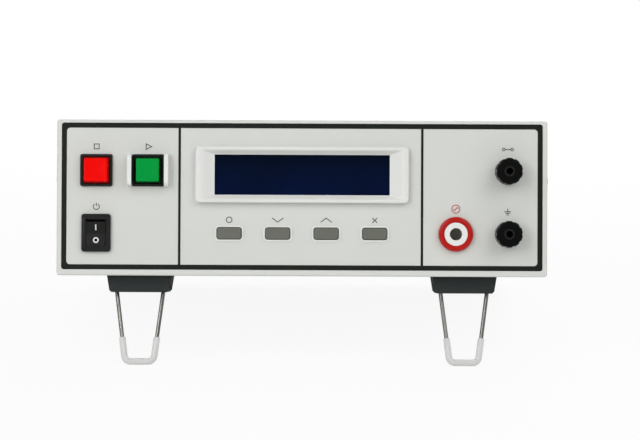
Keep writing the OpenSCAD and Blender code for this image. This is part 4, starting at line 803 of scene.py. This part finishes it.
mirror_front, mirror_back, turn_from, turn_to = 0.05, 1.0, -0.15, 0.25
room_low, room_top, rise_from, rise_to = 0.58, 0.22, 0.0, 0.7
world = bpy.data.worlds.new("studio")
bpy.context.scene.world = world
world.use_nodes = True
tree = world.node_tree
tree.nodes.clear()
ray = add(tree, "ShaderNodeLightPath", {}).outputs
sky_place = add(tree, "ShaderNodeTexCoord", {}).outputs["Generated"]
direction = add(tree, "ShaderNodeSeparateXYZ", {"Vector": sky_place}).outputs
shown = combine(tree, ray["Is Camera Ray"], ray["Is Transmission Ray"], "MAXIMUM")
behind = spread(tree, direction["Y"], mirror_front, mirror_back, turn_from, turn_to)
mirrored = combine(tree, ray["Is Glossy Ray"], behind, "MULTIPLY")
overhead = spread(tree, direction["Z"], room_low, room_top, rise_from, rise_to)
room = combine(tree, ray["Is Diffuse Ray"], overhead, "MULTIPLY")
level = combine(tree, combine(tree, shown, mirrored, "MAXIMUM"), room, "MAXIMUM")
sky = add(tree, "ShaderNodeBackground", {"Color": (1, 1, 1, 1), "Strength": level})
add(tree, "ShaderNodeOutputWorld", {"Surface": sky.outputs["Background"]})


def point(made, place, aim, roll=0.0):
    """Put a lamp or camera at a place with its -Z towards the aim, its X level and then rolled."""
    ahead = np.asarray(aim, float) - place
    ahead /= np.linalg.norm(ahead)
    side = np.cross(ahead, [0, 0, 1.0])
    side /= np.linalg.norm(side)
    over = np.cross(side, ahead)
    matrix = np.eye(4)
    matrix[:3, 0] = math.cos(roll) * side + math.sin(roll) * over
    matrix[:3, 1] = math.cos(roll) * over - math.sin(roll) * side
    matrix[:3, 2] = -ahead
    matrix[:3, 3] = place
    made.matrix_world = mathutils.Matrix(matrix.tolist())


def soft_box(name, place, aim, size, power, spread_angle):
    """Square area lamp turned towards a place: its side in metres, watts and spread in degrees."""
    lamp = bpy.data.lights.new(name, "AREA")
    lamp.size = size
    lamp.energy = power
    lamp.spread = math.radians(spread_angle)
    made = bpy.data.objects.new(name, lamp)
    bpy.context.scene.collection.objects.link(made)
    point(made, place, aim)


panel_centre = np.array([0.0, *(middle("front_panel") @ case_axes)[1:]])
for lamp in (
        ("left_soft_box", (-0.80, -1.10, 0.92), panel_centre - [0.10, 0, 0], 1.1, 2.2, 90),
        ("right_soft_box", (0.72, -1.10, 0.92), panel_centre + [0.10, 0, 0], 1.1, 2.2, 90),
        ("front_fill", (-0.55, -1.40, 0.42), panel_centre, 0.25, 0.25, 60),
        ("top_soft_box", (0.0, 0.60, 1.6), (0, 0.10, 0.05), 1.0, 4.0, 180),
        ("rear_soft_box", (0.5, 1.5, 1.0), (0, 0.15, 0.06), 0.8, 11.0, 180)):
    soft_box(*lamp)


# Camera: a long lens a little below square to the panel, as the object was photographed.
# The object sits left of and above the middle of the picture.
view_distance = 1.40
view_rise = math.radians(7.8)
picture_w = 640
pixels_per_metre = 1750.0
off_centre = np.array([-18.0, 23.0]) / pixels_per_metre
roll = math.radians(0.25)
camera_data = bpy.data.cameras.new("camera")
camera_data.sensor_width = 36.0
camera_data.lens = camera_data.sensor_width * pixels_per_metre * view_distance / picture_w
camera = bpy.data.objects.new("camera", camera_data)
bpy.context.scene.collection.objects.link(camera)
towards = np.array([0.0, -math.cos(view_rise), math.sin(view_rise)])
upright = np.array([0.0, math.sin(view_rise), math.cos(view_rise)])
aim = panel_centre - off_centre[0] * np.array([1.0, 0, 0]) - off_centre[1] * upright
point(camera, aim + towards * view_distance, aim, roll)
bpy.context.scene.camera = camera
bpy.context.scene.view_settings.view_transform = "Standard"
